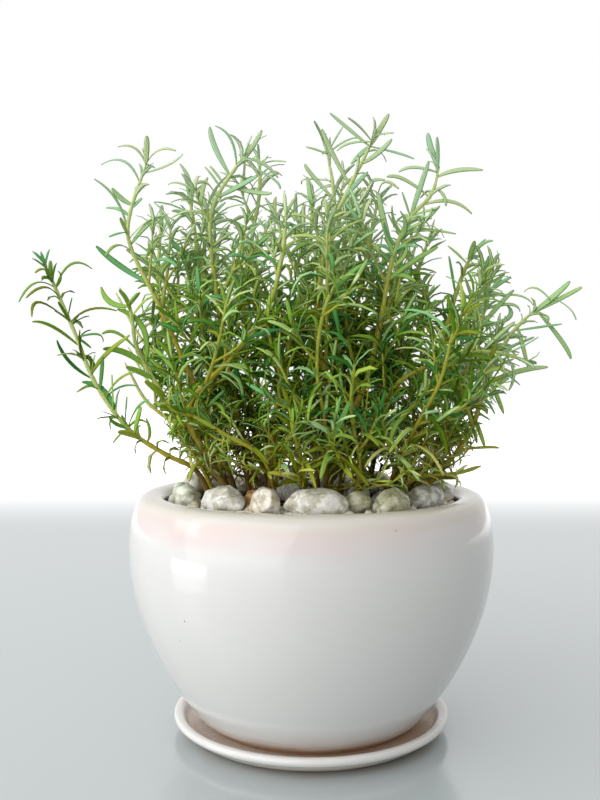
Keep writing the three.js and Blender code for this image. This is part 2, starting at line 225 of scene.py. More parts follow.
def mesh_from(name, points, faces, materials):
    """An object with a mesh, from points in mm."""
    mesh = bpy.data.meshes.new(name)
    mesh.from_pydata((np.asarray(points) * MM).tolist(), [], faces)
    for material in materials:
        mesh.materials.append(material)
    return added(name, mesh)


def piece_from(name, points, faces, materials, slot):
    """A smooth piece of the plant or the pot, which rides on their one body."""
    piece = mesh_from(name, points, faces, materials)
    piece.data.shade_smooth()
    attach(piece, "root")
    return piece


def thrown(outline, turns):
    """Points and faces of a body turned on the wheel. An outline ends on the axis or
    closes on itself, and goes up the outside."""
    angles = np.linspace(0, 2 * math.pi, turns, endpoint=False)
    points, rings = [], []
    for radius, height in outline:
        count = 1 if radius == 0 else turns
        rings.append([len(points) + i % count for i in range(turns + 1)])
        points += [(radius * math.cos(a), radius * math.sin(a), height) for a in angles[:count]]
    if len(rings[0]) == len(set(rings[0])) + 1:
        rings.append(rings[0])
    faces = []
    for lower, upper in zip(rings, rings[1:]):
        for i in range(turns):
            face = [lower[i], lower[i + 1], upper[i + 1], upper[i]]
            faces.append(list(dict.fromkeys(face)))
    return points, faces


GLAZE, WARM_GLAZE = (0.75, 0.742, 0.73), (0.75, 0.72, 0.68)
GLAZE_SHINE = {"Roughness": 0.16, "Coat Weight": 0.3, "Coat Roughness": 0.04}
TROUGH_TAN = (0.58, 0.39, 0.25)
TAN_TOP, TAN_EDGE = (5.2, 9), (62.5, 65.5)  # mm; across each such span a mark fades
TAN_SHADED_RIGHT = (-60, 10)  # from left to right, across which painted shade darkens the tan


def saucer_glaze():
    finish = Finish("saucer_glaze", GLAZE_SHINE)
    sideways, height = (finish.part(finish.place(), axis) for axis in "XZ")
    trough = (1 - finish.rise(height, TAN_TOP)) * (1 - finish.rise(finish.from_axis(), TAN_EDGE))
    patches = finish.ease(finish.grain(55, 3), 0.3, 0.62) * 0.5 + 0.5
    # The tan in the trough, in patches, and darker towards the right as painted shade.
    tan_and_shade = trough * patches * (finish.rise(sideways, TAN_SHADED_RIGHT) * 0.4 + 0.6)
    cloudy = finish.mix(finish.grain(30), GLAZE, WARM_GLAZE)
    return finish.done({
        "Base Color": finish.mix(tan_and_shade * 0.85, cloudy, TROUGH_TAN),
        "Roughness": tan_and_shade * 0.35 + finish.grain(90) * 0.1 + 0.08,
        "Normal": finish.bump(finish.grain(160), 0.12),
    })


saucer_wall = smoothed(SAUCER_WALL, SAUCER_STEPS)
saucer_body = thrown(np.vstack([SAUCER_UNDERSIDE, saucer_wall, SAUCER_FLOOR]), SAUCER_TURNS)
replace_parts(piece_from("saucer_glazed", *saucer_body, [saucer_glaze()], "glaze"), "saucer")

# The pot. It is a thick-walled globe of the same earthenware, thrown and then dipped in
# white glaze, which is thin over the rim, blushes pink below it and browns at the foot.
POT_TURNS, WALL_STEPS, FOOT_STEPS = 150, 6, 3
POT_OUTSIDE = [
    (51.5, 5.6), (57, 9.6), (66, 21.4), (74.3, 35), (81.1, 49.4), (86, 63.4), (89, 77.6),
    (90, 92), (89, 103.5), (86.7, 111.6), (84.5, 115.6), (81.5, 117.3), (78, 117.5),
    (74.6, 116.6), (72.8, 114.2), (72.9, 111.6),
]
POT_INSIDE = [
    (74.2, 109.5), (80.8, 102.4), (83.6, 91), (81, 70), (71.6, 43), (54, 17), (44, 11.5),
]
POT_FLOOR = [(40, 11.5), (7.4, 11.5), (7, 11.1), (7, 6.2), (7.3, 6), (40, 6), (43.6, 6)]
POT_FOOT = [(44.6, 5.2), (45.4, 4.5), (50.4, 4.5), (51.1, 4.8)]

GREY_GLAZE = (0.71, 0.70, 0.68)
BAND_CREAM, CREAM_FROM = (0.69, 0.64, 0.57), (106, 112)  # colours, and spans up the pot
BLUSH_PINK, BLUSH_FROM, BLUSH_TO = (0.73, 0.56, 0.54), (98, 107), (110, 116)
BLUSH_PALER = (-55, 45)  # from left to right
RIM_BEIGE, THIN_FROM = (0.62, 0.57, 0.48), (113.5, 117)
FOOT_BROWN, BROWN_FOOT_TO = (0.42, 0.26, 0.155), (6.5, 14)
BANDS_WANDER, FOOT_WANDERS = 12, 4.8  # mm up and down
PINHOLE = (0.12, 0.10, 0.08)


def pot_glaze():
    finish = Finish("pot_glaze", GLAZE_SHINE)
    sideways, height = (finish.part(finish.place(), axis) for axis in "XZ")
    wander = (finish.grain(14, 3) - 0.5) * (BANDS_WANDER * MM) + height
    blush = finish.rise(wander, BLUSH_FROM) * (1 - finish.rise(wander, BLUSH_TO))
    paler = 1 - finish.rise(sideways, BLUSH_PALER) * 0.6
    patches = finish.ease(finish.grain(13), 0.15, 0.6) * paler
    squeezed = finish.stretched(1, 1, 5)
    clouds = finish.mix(finish.grain(9, 3, squeezed), GLAZE, GREY_GLAZE)
    warm = finish.mix(finish.rise(wander, CREAM_FROM) * 0.75, clouds, BAND_CREAM)
    pink = finish.mix(blush * patches * 0.7, warm, BLUSH_PINK)
    thin = finish.rise(height, THIN_FROM) * (finish.grain(40, 3) * 0.8 + 0.1)
    rimmed = finish.mix(thin, pink, RIM_BEIGE)
    # Towards the foot the colour turns brown and the glaze rougher.
    foot_edge = (finish.grain(60, 3) - 0.5) * (FOOT_WANDERS * MM) + height
    worn = 1 - finish.rise(foot_edge, BROWN_FOOT_TO)
    footed = finish.mix(worn**1.6, rimmed, FOOT_BROWN)
    sockets = {"Vector": finish.place(), "Scale": 105}
    spots = finish.node("ShaderNodeTexVoronoi", {}, sockets, "Distance")
    chosen = finish.ease(finish.grain(48, 0), 0.6, 0.62)
    pinholes = (1 - finish.ease(spots, 0.035, 0.05)) * chosen
    relief = finish.grain(38, 2, squeezed) * 0.7 + finish.grain(210) * 0.3 - pinholes * 0.5
    return finish.done({
        "Base Color": finish.mix(pinholes * 0.8, footed, PINHOLE),
        "Roughness": worn * 0.45 + finish.grain(70) * 0.1 + 0.07,
        "Normal": finish.bump(relief, 0.14),
    })


pot_wall = [smoothed(line, WALL_STEPS) for line in (POT_OUTSIDE, POT_INSIDE)]
pot_outline = np.vstack([*pot_wall, POT_FLOOR, smoothed(POT_FOOT, FOOT_STEPS)])
pot_body = thrown(pot_outline, POT_TURNS)
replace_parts(piece_from("pot_glazed", *pot_body, [pot_glaze()], "glaze"), "pot")

# The soil. Dark potting soil of peat and bark fills the pot to just under its rim. It is
# uneven on top, with loose crumbs and chips of bark lying on it.
SOIL_Z = 111
SOIL_TURNS = 96
SOIL_SIDE = [
    (0, 11.8), (43, 11.8), (53, 17.3), (70.6, 43.3), (79.8, 70), (82.4, 91), (79.6, 102),
    (73, 109.2), (72.2, 110.4),
]
SOIL_TOP_R = 71.5
SOIL_RINGS = 30
UNEVEN = 1.3  # mm up and down, in waves and dimples
WAVES, DIMPLES = (0.09, 0.8), (0.42, 0.45)  # how many in a mm, and how deep as a share
CRUMBS, CHIPS, CRUMBS_TO = 420, 150, 0.97  # and how far out they lie, as a share
CRUMB_SIZES, CHIP_SIZES = (0.8, 2.4), (2.5, 7)  # mm
CRUMB_SHAPE, CHIP_WIDTHS, CHIP_HEIGHT = (1, 0.85, 0.7), (0.35, 0.7), 0.28
LUMPY, TILTED = (0.75, 1.1), (-0.35, 0.35)
SOIL_SEED = 5
PEAT, CRUMB_TINTS = ((0.035, 0.022, 0.014), (0.09, 0.055, 0.034)), (0, 0.5)
BARK_CHIP, CHIP_TINTS = ((0.16, 0.075, 0.03), (0.33, 0.17, 0.075)), (0.4, 1)


def icosphere(detail):
    """Points and faces of a ball of radius 1."""
    ball = bmesh.new()
    bmesh.ops.create_icosphere(ball, subdivisions=detail, radius=1)
    ball.verts.ensure_lookup_table()
    points = np.array([vertex.co for vertex in ball.verts])
    faces = np.array([[vertex.index for vertex in face.verts] for face in ball.faces])
    ball.free()
    return points, faces


def soil_height(x, y):
    """How far the soil's top lies above or below its usual height."""
    (waves, waves_deep), (dimples, dimples_deep) = WAVES, DIMPLES
    coarse = noise.noise(Vector((x, y, 0)) * waves)
    fine = noise.noise(Vector((x, y, 9)) * dimples)
    return UNEVEN * (waves_deep * coarse + dimples_deep * fine)


def soil_finish():
    finish = Finish("potting_soil", {"Roughness": 0.95, "Specular IOR Level": 0.2})
    peat = finish.mix(finish.grain(260, 4), *PEAT)
    bark = finish.mix(finish.grain(500, 3), *BARK_CHIP)
    chip = finish.ease(finish.attribute("tint", "Fac"), 0.25, 0.75)
    return finish.done({
        "Base Color": finish.mix(chip, peat, bark),
        "Normal": finish.bump(finish.grain(900, 4), 0.5),
    })


def soil_body():
    chance = np.random.default_rng(SOIL_SEED)
    top = [(radius, SOIL_Z) for radius in np.linspace(SOIL_TOP_R, 0, SOIL_RINGS)]
    points, faces = thrown(np.vstack([SOIL_SIDE, top]), SOIL_TURNS)
    points = np.array(points)
    upper = points[:, 2] > SOIL_Z - 0.1
    points[upper, 2] += [soil_height(x, y) for x, y, _ in points[upper]]
    tints = [np.zeros(len(points))]
    points, faces, total = [points], list(faces), len(points)
    lump, lump_faces = icosphere(1)
    for n in range(CRUMBS + CHIPS):
        chip = n >= CRUMBS
        sizes, its_tints = (CHIP_SIZES, CHIP_TINTS) if chip else (CRUMB_SIZES, CRUMB_TINTS)
        radius = SOIL_TOP_R * CRUMBS_TO * math.sqrt(chance.random())
        angle = chance.random() * 2 * math.pi
        x, y = radius * math.cos(angle), radius * math.sin(angle)
        size = chance.uniform(*sizes)
        shape = (1, chance.uniform(*CHIP_WIDTHS), CHIP_HEIGHT) if chip else CRUMB_SHAPE
        grown = lump * chance.uniform(*LUMPY, (len(lump), 1)) * shape * size / 2
        turn, tilt = chance.uniform(0, math.pi), chance.uniform(*TILTED)
        turns = Matrix.Rotation(turn, 3, "Z") @ Matrix.Rotation(tilt, 3, "Y")
        grown = grown @ np.array(turns).T
        z = SOIL_Z + soil_height(x, y) + size * shape[2] * 0.3
        points.append(grown + (x, y, z))
        faces += (lump_faces + total).tolist()
        total += len(lump)
        tints.append(np.full(len(lump), chance.uniform(*its_tints)))
    return np.vstack(points), faces, np.concatenate(tints)


def tinted_piece(name, body, material, slot):
    """A piece whose points carry a tint each, which its finish reads."""
    points, faces, tints = body
    piece = piece_from(name, points, faces, [material], slot)
    piece.data.attributes.new("tint", "FLOAT", "POINT").data.foreach_set("value", tints)
    return piece


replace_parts(tinted_piece("soil_crumbly", soil_body(), soil_finish(), "soil"), "soil")

# The pebbles. Broken quartz, white, cream, greenish and grey, lies loose on the soil to
# dress it. Each stone keeps its broken faces, and tumbling has only worn their edges.
STONE_EDGE = 26  # the higher, the sharper the edges between a stone's faces
WORN = {3: 13, 6: 14}  # the edges of the more worn stones
# The clear body of a kind of stone, its milky clouds and the dirt in its cracks.
STONE_KINDS = {
    "white": ((0.92, 0.90, 0.86), (0.62, 0.60, 0.50), (0.33, 0.28, 0.15)),
    "cream": ((0.92, 0.87, 0.78), (0.64, 0.57, 0.42), (0.34, 0.22, 0.10)),
    "green": ((0.93, 0.95, 0.84), (0.66, 0.70, 0.52), (0.30, 0.32, 0.17)),
    "olive": ((0.76, 0.75, 0.58), (0.47, 0.46, 0.28), (0.18, 0.15, 0.06)),
    "grey": ((0.68, 0.67, 0.62), (0.34, 0.33, 0.27), (0.16, 0.14, 0.09)),
    "amber": ((0.64, 0.36, 0.14), (0.42, 0.20, 0.07), (0.20, 0.09, 0.03)),
}
STONES = """
    white cream white olive olive grey white cream grey white green white
    cream white white green green amber grey white cream grey white green
""".split()
# The large broken faces of the stones along the front: which way each looks, and how far
# out it lies as a share of the stone's reach that way.
BROKEN_FACES = {
    1: [(-0.5, -0.5, 0.7, 0.74), (0.6, -0.4, 0.7, 0.8), (0.05, -1, 0.15, 0.82)],
    2: [(-0.3, -0.85, 0.45, 0.7), (0.25, 0, 1, 0.8), (0.8, -0.5, 0.3, 0.78)],
    3: [(-0.45, -0.6, 0.65, 0.86), (0.5, -0.6, 0.6, 0.84), (0, -0.3, 1, 0.93)],
    4: [(-0.2, -0.8, 0.6, 0.8), (0.6, -0.3, 0.7, 0.8)],
    5: [(-0.65, -0.45, 0.6, 0.68), (0.6, -0.4, 0.7, 0.72)],
    6: [(-0.35, -0.7, 0.65, 0.8), (0.5, -0.5, 0.7, 0.78)],
}
OTHER_FACES, OTHER_SHARES = 4, (0.76, 0.9)  # of a stone further back
SUNKEN_TO = (SOIL_Z + 1, SOIL_Z + 7)  # a span up which the soil's dirt ends
WAVE, WAVY, PITTED = 0.13, 0.03, 0.012  # how uneven a broken face is


def stone_finish(kind):
    clear, cloudy, dirt = STONE_KINDS[kind]
    finish = Finish("quartz_" + kind, {"Coat Weight": 0.35, "Coat Roughness": 0.12})
    clouds = finish.ease(finish.grain(190, 5), 0.4, 0.62)
    body = finish.mix(clouds, clear, cloudy)
    veins = 1 - finish.ease(abs(finish.grain(75, 4) - 0.5), 0, 0.035)
    dirty = finish.ease(finish.grain(240, 6), 0.5, 0.66)
    sunken = 1 - finish.rise(finish.part(finish.place(), "Z"), SUNKEN_TO)
    stained = finish.mix(sunken * 0.35 + dirty * 0.6, body, dirt)
    return finish.done({
        "Base Color": finish.mix(veins * 0.55, stained, dirt),
        "Roughness": finish.grain(120, 3) * 0.4 + 0.1,
        "Normal": finish.bump(finish.grain(200, 5), 0.6),
    })


def stone_from(number, node, detail):
    """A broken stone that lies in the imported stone's faces and fills its box."""
    low, high = (np.array(corner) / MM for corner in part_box(node))
    centre = (low + high) / 2
    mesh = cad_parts[node].data
    normals = np.array([face.normal for face in mesh.polygons])
    spots = np.array([face.center for face in mesh.polygons]) / MM - centre
    reach = (normals * spots).sum(1)
    corners = np.array([corner.co for corner in mesh.vertices]) / MM - centre
    chance = np.random.default_rng([SOIL_SEED, number])
    chosen = [(*chance.normal(0, 1, 2), chance.random(), chance.uniform(*OTHER_SHARES))
              for _ in range(OTHER_FACES)]
    for x, y, z, share in BROKEN_FACES.get(number, chosen):
        way = np.array([x, y, z]) / math.hypot(x, y, z)
        normals = np.vstack([normals, way])
        reach = np.append(reach, (corners @ way).max() * share)
    ways, faces = icosphere(detail)
    ways = ways / np.linalg.norm(ways, axis=1, keepdims=True)
    toward = np.clip(ways @ normals.T / reach, 0, None)
    edge = WORN.get(number, STONE_EDGE)
    points = ways / ((toward**edge).sum(1) ** (1 / edge))[:, None]
    for n, point in enumerate(points):
        spot = Vector(point) * WAVE + Vector((number * 7.3, 0, 0))
        points[n] *= 1 + WAVY * noise.noise(spot) + PITTED * noise.noise(spot * 5)
    least, most = points.min(0), points.max(0)
    points = (points - least) / (most - least) * (high - low) + low
    return points, faces.tolist()


quartz = {kind: stone_finish(kind) for kind in STONE_KINDS}
FINE_STONES = 7  # the ones along the front
for number, kind in enumerate(STONES, 1):
    node = f"pebble_{number:02}"
    body = stone_from(number, node, 5 if number <= FINE_STONES else 4)
    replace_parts(piece_from(node + "_worn", *body, [quartz[kind]], "pebble"), node)

# The gravel. Chips of the same quartz, a few millimetres across, are poured round the
# pebbles. They lie loose on the soil, and fill the gaps between the stones and the rim.
GRAVEL = 340
GRAVEL_SIZES = (3.5, 7.5)  # mm
GRAVEL_REACH = 72.3
INWARDS = 0.2  # the lower, the more chips lie near the rim
CUTS, CUT_AT = 7, (0.62, 0.9)  # a chip's broken faces, and how far out they lie
FARTHEST = 0.8  # 1 over how far out its corners may stand
GRAVEL_STRETCH = (0.7, 1.15)
GRAVEL_WHITES = (0.92, 0.92, 0.88), (0.76, 0.78, 0.66)
GRAVEL_BROWNS = (0.74, 0.62, 0.44), (0.52, 0.26, 0.11)
GRAVEL_DIRT = (0.40, 0.37, 0.27)


def gravel_finish():
    finish = Finish("quartz_gravel", {"Coat Weight": 0.2, "Coat Roughness": 0.2})
    tint = finish.attribute("tint", "Fac")
    pale = finish.mix(finish.ease(tint, 0.3, 0.4), *GRAVEL_WHITES)
    brown = finish.mix(finish.ease(tint, 0.9, 0.95), *GRAVEL_BROWNS)
    body = finish.mix(finish.ease(tint, 0.6, 0.7), pale, brown)
    return finish.done({
        "Base Color": finish.mix(finish.grain(260, 4) * 0.5, body, GRAVEL_DIRT),
        "Roughness": finish.grain(200) * 0.4 + 0.15,
    })


def gravel_body():
    chance = np.random.default_rng([SOIL_SEED, GRAVEL])
    ball, ball_faces = icosphere(2)
    points, faces, tints = [], [], []
    for n in range(GRAVEL):
        size, angle = chance.uniform(*GRAVEL_SIZES), chance.uniform(0, 2 * math.pi)
        radius = (GRAVEL_REACH - size / 2) * chance.random() ** INWARDS
        cuts = chance.normal(0, 1, (CUTS, 3))
        cuts /= np.linalg.norm(cuts, axis=1, keepdims=True)
        toward = np.clip(ball @ cuts.T / chance.uniform(*CUT_AT, CUTS), FARTHEST, None)
        chip = ball / toward.max(1)[:, None] * (size / 2) * chance.uniform(*GRAVEL_STRETCH, 3)
        x, y = radius * math.cos(angle), radius * math.sin(angle)
        faces += (ball_faces + n * len(ball)).tolist()
        points.append(chip + (x, y, SOIL_Z + soil_height(x, y) + size * 0.4))
        tints.append(np.full(len(ball), chance.random()))
    return np.vstack(points), faces, np.concatenate(tints)


tinted_piece("gravel", gravel_body(), gravel_finish(), "pebble")

# The stems and leaves. Thirty-three stems rise from the soil, woody below and green above,
# and side shoots leave them. Narrow leathery leaves grow in pairs, each pair at right
# angles to the next, young and upright at the tips and arching outwards lower down.
SEED = 11
STEM_R, TIP_R = 1.5, 0.95  # mm
SHOOT_R, SHOOT_TIP_R = 1.05, 0.55
TWIG_R, TWIG_TIP_R = 0.75, 0.4
STEM_STEPS, SHOOT_STEPS, TWIG_STEPS = 12, 8, 4
STEM_SIDES, SHOOT_SIDES, TWIG_SIDES = 8, 6, 5
CAD_STEM_R, CAD_SHOOT_R = 2, 1.3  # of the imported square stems, which side shoots keep clear of
CLEAR = 0.6
FIRST_SHOOT, NEXT_SHOOT, SHOOT_SPREAD = 0.34, 0.22, 0.05  # shares of a stem's length
ON_UP, OUT_ACROSS, TURNS_UP = 0.75, 0.66, 0.7  # how a shoot leaves its stem, then rises
HALF_LENGTHS = (0.25, 0.34)  # of a shoot, as shares of the stem above it
SHOOT_TRIES, NEXT_TRY = 9, 0.7
LOWEST_END = 139
ROOT_Z, ROOTED = SOIL_Z + 2, 7  # a stem's lowest point, and how far it is drawn below that
GOLDEN_TURN = 2.39996
UP = np.array([0, 0, 1.0])

# Each stem's name, the share of it that is bare, how many side shoots it has, its thickness
# as a share of the usual, where it is rooted, and its route upwards in mm.
STEMS = [
    ("far_left", 0.36, 0, 1.15, (-46, -26), (-54, -32, 131), (-68, -35, 139), (-85, -36, 151),
     (-100, -36, 172), (-109, -37, 195), (-122, -38, 226)),
    ("tall_left", 0.3, 2, 1, (-41, -8), (-48, -7, 147), (-64, -6, 185), (-76, -5, 212),
     (-89, -3, 238), (-90, -2, 254), (-82, 0, 280)),
    ("left_inner", 0.3, 2, 0.95, (-38, 10), (-46, 12, 142), (-54, 14, 188), (-55, 16, 219),
     (-59, 18, 243), (-63, 20, 270)),
    ("crown_left", 0.3, 2, 1, (-30, -5), (-36, -3, 153), (-44, -1, 198), (-50, 1, 240),
     (-48, 2, 262), (-31, 5, 289)),
    ("crown_slim", 0.3, 2, 0.9, (-22, 30), (-32, 26, 162), (-35, 27, 215), (-31, 28, 247),
     (-27, 29, 271), (-27, 30, 291)),
    ("arch_left", 0.2, 1, 1.05, (-34, -30), (-50, -34, 140), (-57, -33, 161), (-37, -32, 184),
     (-21, -32, 205), (-14, -31, 230), (-12, -30, 250)),
    ("front_left", 0.22, 0, 0.9, (-15, -33), (-22, -50, 138), (-38, -54, 149), (-55, -57, 159),
     (-69, -60, 164)),
    ("centre_tall", 0.25, 2, 1.2, (8, -14), (11, -11, 144), (9, -10, 163), (3, -9, 195),
     (4, -8, 218), (8, -8, 243), (18, -7, 266), (31, -5, 292)),
    ("centre_back", 0.3, 2, 0.95, (4, 20), (1, 23, 162), (4, 26, 215), (12, 29, 253),
     (12, 31, 275), (9, 34, 293)),
    ("crown_right", 0.25, 2, 1.15, (0, -22), (6, -20, 137), (24, -17, 166), (33, -16, 200),
     (38, -15, 227), (46, -13, 249), (58, -11, 263), (62, -10, 276)),
    ("right_inner", 0.3, 2, 0.95, (38, 8), (56, 10, 147), (64, 14, 178), (73, 19, 209),
     (80, 23, 229), (86, 25, 241)),
    ("right_fork", 0.3, 1, 0.95, (50, 16), (70, 15, 144), (81, 15, 180), (89, 16, 207),
     (94, 18, 232)),
    ("far_right", 0.22, 2, 1.1, (50, -10), (75, -14, 144), (83, -15, 166), (92, -17, 189),
     (103, -18, 203), (118, -20, 214)),
    ("right_arm", 0.2, 1, 1.1, (21, -25), (28, -29, 150), (39, -33, 171), (64, -37, 184),
     (82, -41, 186), (98, -44, 182)),
    ("low_right", 0.25, 0, 0.75, (49, 0), (60, 1, 132), (72, 3, 141), (82, 4, 149)),
    ("creeping", 0.15, 0, 0.7, (40, -34), (46, -31, 126), (58, -25, 128), (71, -18, 128.5),
     (83, -11, 131)),
    ("front_mid", 0.2, 0, 0.8, (17, -37), (21, -52, 134), (17, -58, 160), (18, -62, 181)),
    ("front_tuft", 0.2, 0, 0.75, (-3, -36), (-4, -49, 133), (-8, -57, 149), (-10, -61, 162)),
    ("fork_mid", 0.3, 2, 1, (-20, -24), (-18, -26, 150), (-13, -28, 179), (-9, -29, 195),
     (1, -31, 213)),
    ("left_slim", 0.3, 1, 0.85, (-44, -17), (-60, -20, 146), (-73, -21, 170), (-83, -21, 187),
     (-86, -22, 206), (-91, -23, 217)),
    ("left_low", 0.25, 1, 0.85, (-48, 2), (-60, 6, 143), (-70, 10, 165), (-77, 14, 186),
     (-82, 18, 204)),
    ("back_left", 0.3, 2, 0.95, (-28, 38), (-42, 46, 160), (-56, 54, 205), (-60, 60, 240),
     (-56, 64, 266)),
    ("back_far_left", 0.25, 2, 0.95, (-42, 22), (-60, 30, 150), (-76, 38, 188), (-83, 44, 222),
     (-82, 48, 254)),
    ("back_mid", 0.3, 2, 0.95, (-4, 42), (-8, 54, 165), (-6, 64, 215), (0, 70, 250), (2, 74, 280)),
    ("back_right", 0.3, 2, 0.95, (24, 36), (36, 46, 160), (45, 56, 203), (49, 62, 232),
     (54, 66, 255)),
    ("back_far_right", 0.25, 2, 0.9, (40, 24), (62, 34, 150), (80, 42, 186), (90, 48, 214),
     (104, 52, 234)),
    ("rear_left", 0.2, 1, 0.85, (-14, 46), (-26, 68, 145), (-36, 84, 180), (-38, 94, 210),
     (-36, 100, 232)),
    ("rear_right", 0.2, 1, 0.85, (12, 46), (22, 68, 145), (30, 86, 178), (32, 96, 208),
     (38, 102, 230)),
    ("mid_right", 0.3, 2, 0.95, (28, 6), (38, 8, 160), (46, 10, 198), (54, 13, 226), (61, 16, 246)),
    ("front_right", 0.2, 1, 0.9, (33, -18), (44, -42, 146), (56, -54, 172), (62, -60, 196),
     (72, -64, 214)),
    ("front_centre", 0.2, 1, 0.85, (6, -31), (6, -48, 150), (2, -58, 178), (4, -64, 200),
     (10, -68, 216)),
    ("crown_mid", 0.3, 2, 0.95, (15, 9), (20, 16, 162), (24, 20, 209), (30, 21, 241), (35, 22, 267)),
    ("crown_back", 0.3, 1, 0.9, (10, 32), (12, 38, 162), (15, 42, 211), (18, 44, 244),
     (22, 46, 266)),
]


HASH_START, HASH_STEP, HASH_STIR = 0x811C9DC5, 0x01000193, 0x85EBCA6B


def draw(*keys):
    """A number from 0 to 1 that depends only on its keys."""
    h = HASH_START ^ SEED
    for key in keys:
        h = (h ^ (key + 1)) * HASH_STEP % 2**32
        h = (h ^ (h >> 15)) * HASH_STIR % 2**32
        h ^= h >> 13
    return h / 2**32


def between(low, high, *keys):
    return low + (high - low) * draw(*keys)


def unit(vector):
    return vector / np.linalg.norm(vector, axis=-1, keepdims=True)


def outwards(way, turn):
    """The direction across a stem's way at a turn round it."""
    level = unit(np.cross([0, 1, 0], way))
    return level * math.cos(turn) + np.cross(way, level) * math.sin(turn)


class Line:
    """A line of straight steps. Places on it are shares of its length."""

    def __init__(self, stops):
        self.stops = np.asarray(stops, float)
        lengths = np.linalg.norm(np.diff(self.stops, axis=0), axis=1)
        self.run = np.concatenate([[0], np.cumsum(lengths)])
        self.length = self.run[-1]

    def at(self, share):
        run = min(max(share, 0), 1) * self.length
        return np.array([np.interp(run, self.run, axis) for axis in self.stops.T])

    def way(self, share):
        return unit(self.at(share + 1e-4) - self.at(share - 1e-4))


def close_points(stops):
    """Points at most 2 mm apart along a line's stops."""
    made = []
    for start, end in zip(stops, stops[1:]):
        parts = math.ceil(np.linalg.norm(end - start) / 2)
        made += [start + (end - start) * k / parts for k in range(1, parts + 1)]
    return np.array(made)


rods = []  # (start, end, radius, owner) of what the stems fill


def add_rods(stops, radius, owner):
    rods.extend((start, end, radius, owner) for start, end in zip(stops, stops[1:]))


def keeps_clear(points, radius, owner):
    """True if a rod along points doesn't come near what another owner fills."""
    for start, end, thick, whose in rods:
        if whose == owner:
            continue
        span = end - start
        share = np.clip((points - start) @ span / (span @ span), 0, 1)
        gaps = np.linalg.norm(points - start - share[:, None] * span, axis=1)
        if gaps.min() < radius + thick + CLEAR:
            return False
    return True


def shoot_points(s, k, turn):
    """Side shoot k of stem s leaves it slantwise and turns upwards."""
    plan = stems[s]["plan"]
    share = FIRST_SHOOT + NEXT_SHOOT * k + between(-SHOOT_SPREAD, SHOOT_SPREAD, s, k, 1)
    start, way = plan.at(share), plan.way(share)
    slant = unit(ON_UP * way + OUT_ACROSS * outwards(way, turn))
    half = plan.length * (1 - share) * between(*HALF_LENGTHS, s, k, 2)
    elbow = start + slant * half
    return share, [start, elbow, elbow + unit(slant + TURNS_UP * UP) * half]


stems = []
for s, (name, bare, shoots, thick, root, *route) in enumerate(STEMS):
    points = [(*root, ROOT_Z), *route]
    plan = Line(curve_through(points, len(route) + 3))
    add_rods(plan.stops, CAD_STEM_R * thick, s)
    stems.append({
        "name": name, "bare": bare, "shoots": shoots, "thick": thick, "plan": plan,
        "line": Line(smoothed(points, STEM_STEPS)), "sides": [], "forks": [],
    })
for s, stem in enumerate(stems):
    for k in range(stem["shoots"]):
        for attempt in range(SHOOT_TRIES):
            turn = GOLDEN_TURN * (s + 2 * k) + attempt * NEXT_TRY
            share, points = shoot_points(s, k, turn)
            plan = Line(curve_through(points, 3))
            low = plan.stops[-1][2] < LOWEST_END
            if low or not keeps_clear(close_points(plan.stops), CAD_SHOOT_R, s):
                continue
            stem["sides"].append(Line(smoothed(points, SHOOT_STEPS)))
            stem["forks"].append(share)
            add_rods(plan.stops, CAD_SHOOT_R, s)
            break

# Where the foliage ends against the light in the photograph, in pixels: its top from left
# to right as (x, y), and its sides from top to bottom as (y, x).
SKYLINE = [
    (0, 330), (18, 300), (24, 278), (40, 262), (92, 262), (97, 238), (98, 190), (104, 162),
    (118, 144), (146, 134), (158, 174), (174, 190), (186, 164), (196, 178), (206, 150),
    (211, 126), (218, 124), (240, 138), (258, 130), (266, 134), (274, 162), (287, 160),
    (288, 190), (300, 182), (304, 144), (316, 118), (331, 112), (352, 116), (390, 112),
    (396, 136), (400, 180), (414, 196), (420, 176), (427, 132), (440, 136), (450, 170),
    (458, 206), (470, 236), (494, 238), (504, 262), (516, 284), (548, 284), (570, 280),
    (584, 288), (600, 330),
]
LEFT_EDGE = [
    (236, 96), (250, 112), (268, 130), (284, 134), (306, 134), (330, 136), (352, 132),
    (368, 138), (383, 150), (404, 156), (430, 164), (455, 176), (495, 182),
]
RIGHT_EDGE = [
    (236, 500), (262, 512), (285, 520), (300, 532), (330, 545), (350, 540), (372, 536),
    (388, 512), (405, 496), (425, 482), (445, 476), (460, 470), (480, 468), (495, 466),
]
STONES_AT = 491
FOCUS = LENS / SENSOR * PHOTO_HEIGHT  # pixels
OVER_RIM_Z, RIM_REACH = 120, 66  # the lowest foliage over the rim, and where the rim begins
OVER_SOIL_Z = SOIL_Z + 2
BOX_MARGIN = 1.4
low_corner, high_corner = (np.array(corner) / MM for corner in cad_box)
stone_boxes = np.array([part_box(f"pebble_{n:02}") for n in range(1, len(STONES) + 1)]) / MM


def to_pixel(point):
    """Where the camera sees a point, in the photograph's pixels."""
    x, y, z = point - CAMERA_PLACE
    ahead = y * math.cos(LOOK_DOWN) - z * math.sin(LOOK_DOWN)
    above = y * math.sin(LOOK_DOWN) + z * math.cos(LOOK_DOWN)
    return np.array([PHOTO_WIDTH / 2 + FOCUS * x / ahead, PHOTO_HEIGHT / 2 - FOCUS * above / ahead])


def at_pixel(pixel, depth):
    """The point that the camera sees at a pixel, at depth along Y."""
    right, up = (pixel[0] - PHOTO_WIDTH / 2) / FOCUS, (PHOTO_HEIGHT / 2 - pixel[1]) / FOCUS
    way = np.array([
        right,
        math.cos(LOOK_DOWN) + up * math.sin(LOOK_DOWN),
        up * math.cos(LOOK_DOWN) - math.sin(LOOK_DOWN),
    ])
    return CAMERA_PLACE + way * (depth - CAMERA_PLACE[1]) / way[1]


def in_view(point):
    """True if a point lies inside the foliage's outline in the photograph."""
    x, y = to_pixel(point)
    high_enough = np.interp(x, *zip(*SKYLINE)) < y < STONES_AT
    return high_enough and np.interp(y, *zip(*LEFT_EDGE)) < x < np.interp(y, *zip(*RIGHT_EDGE))


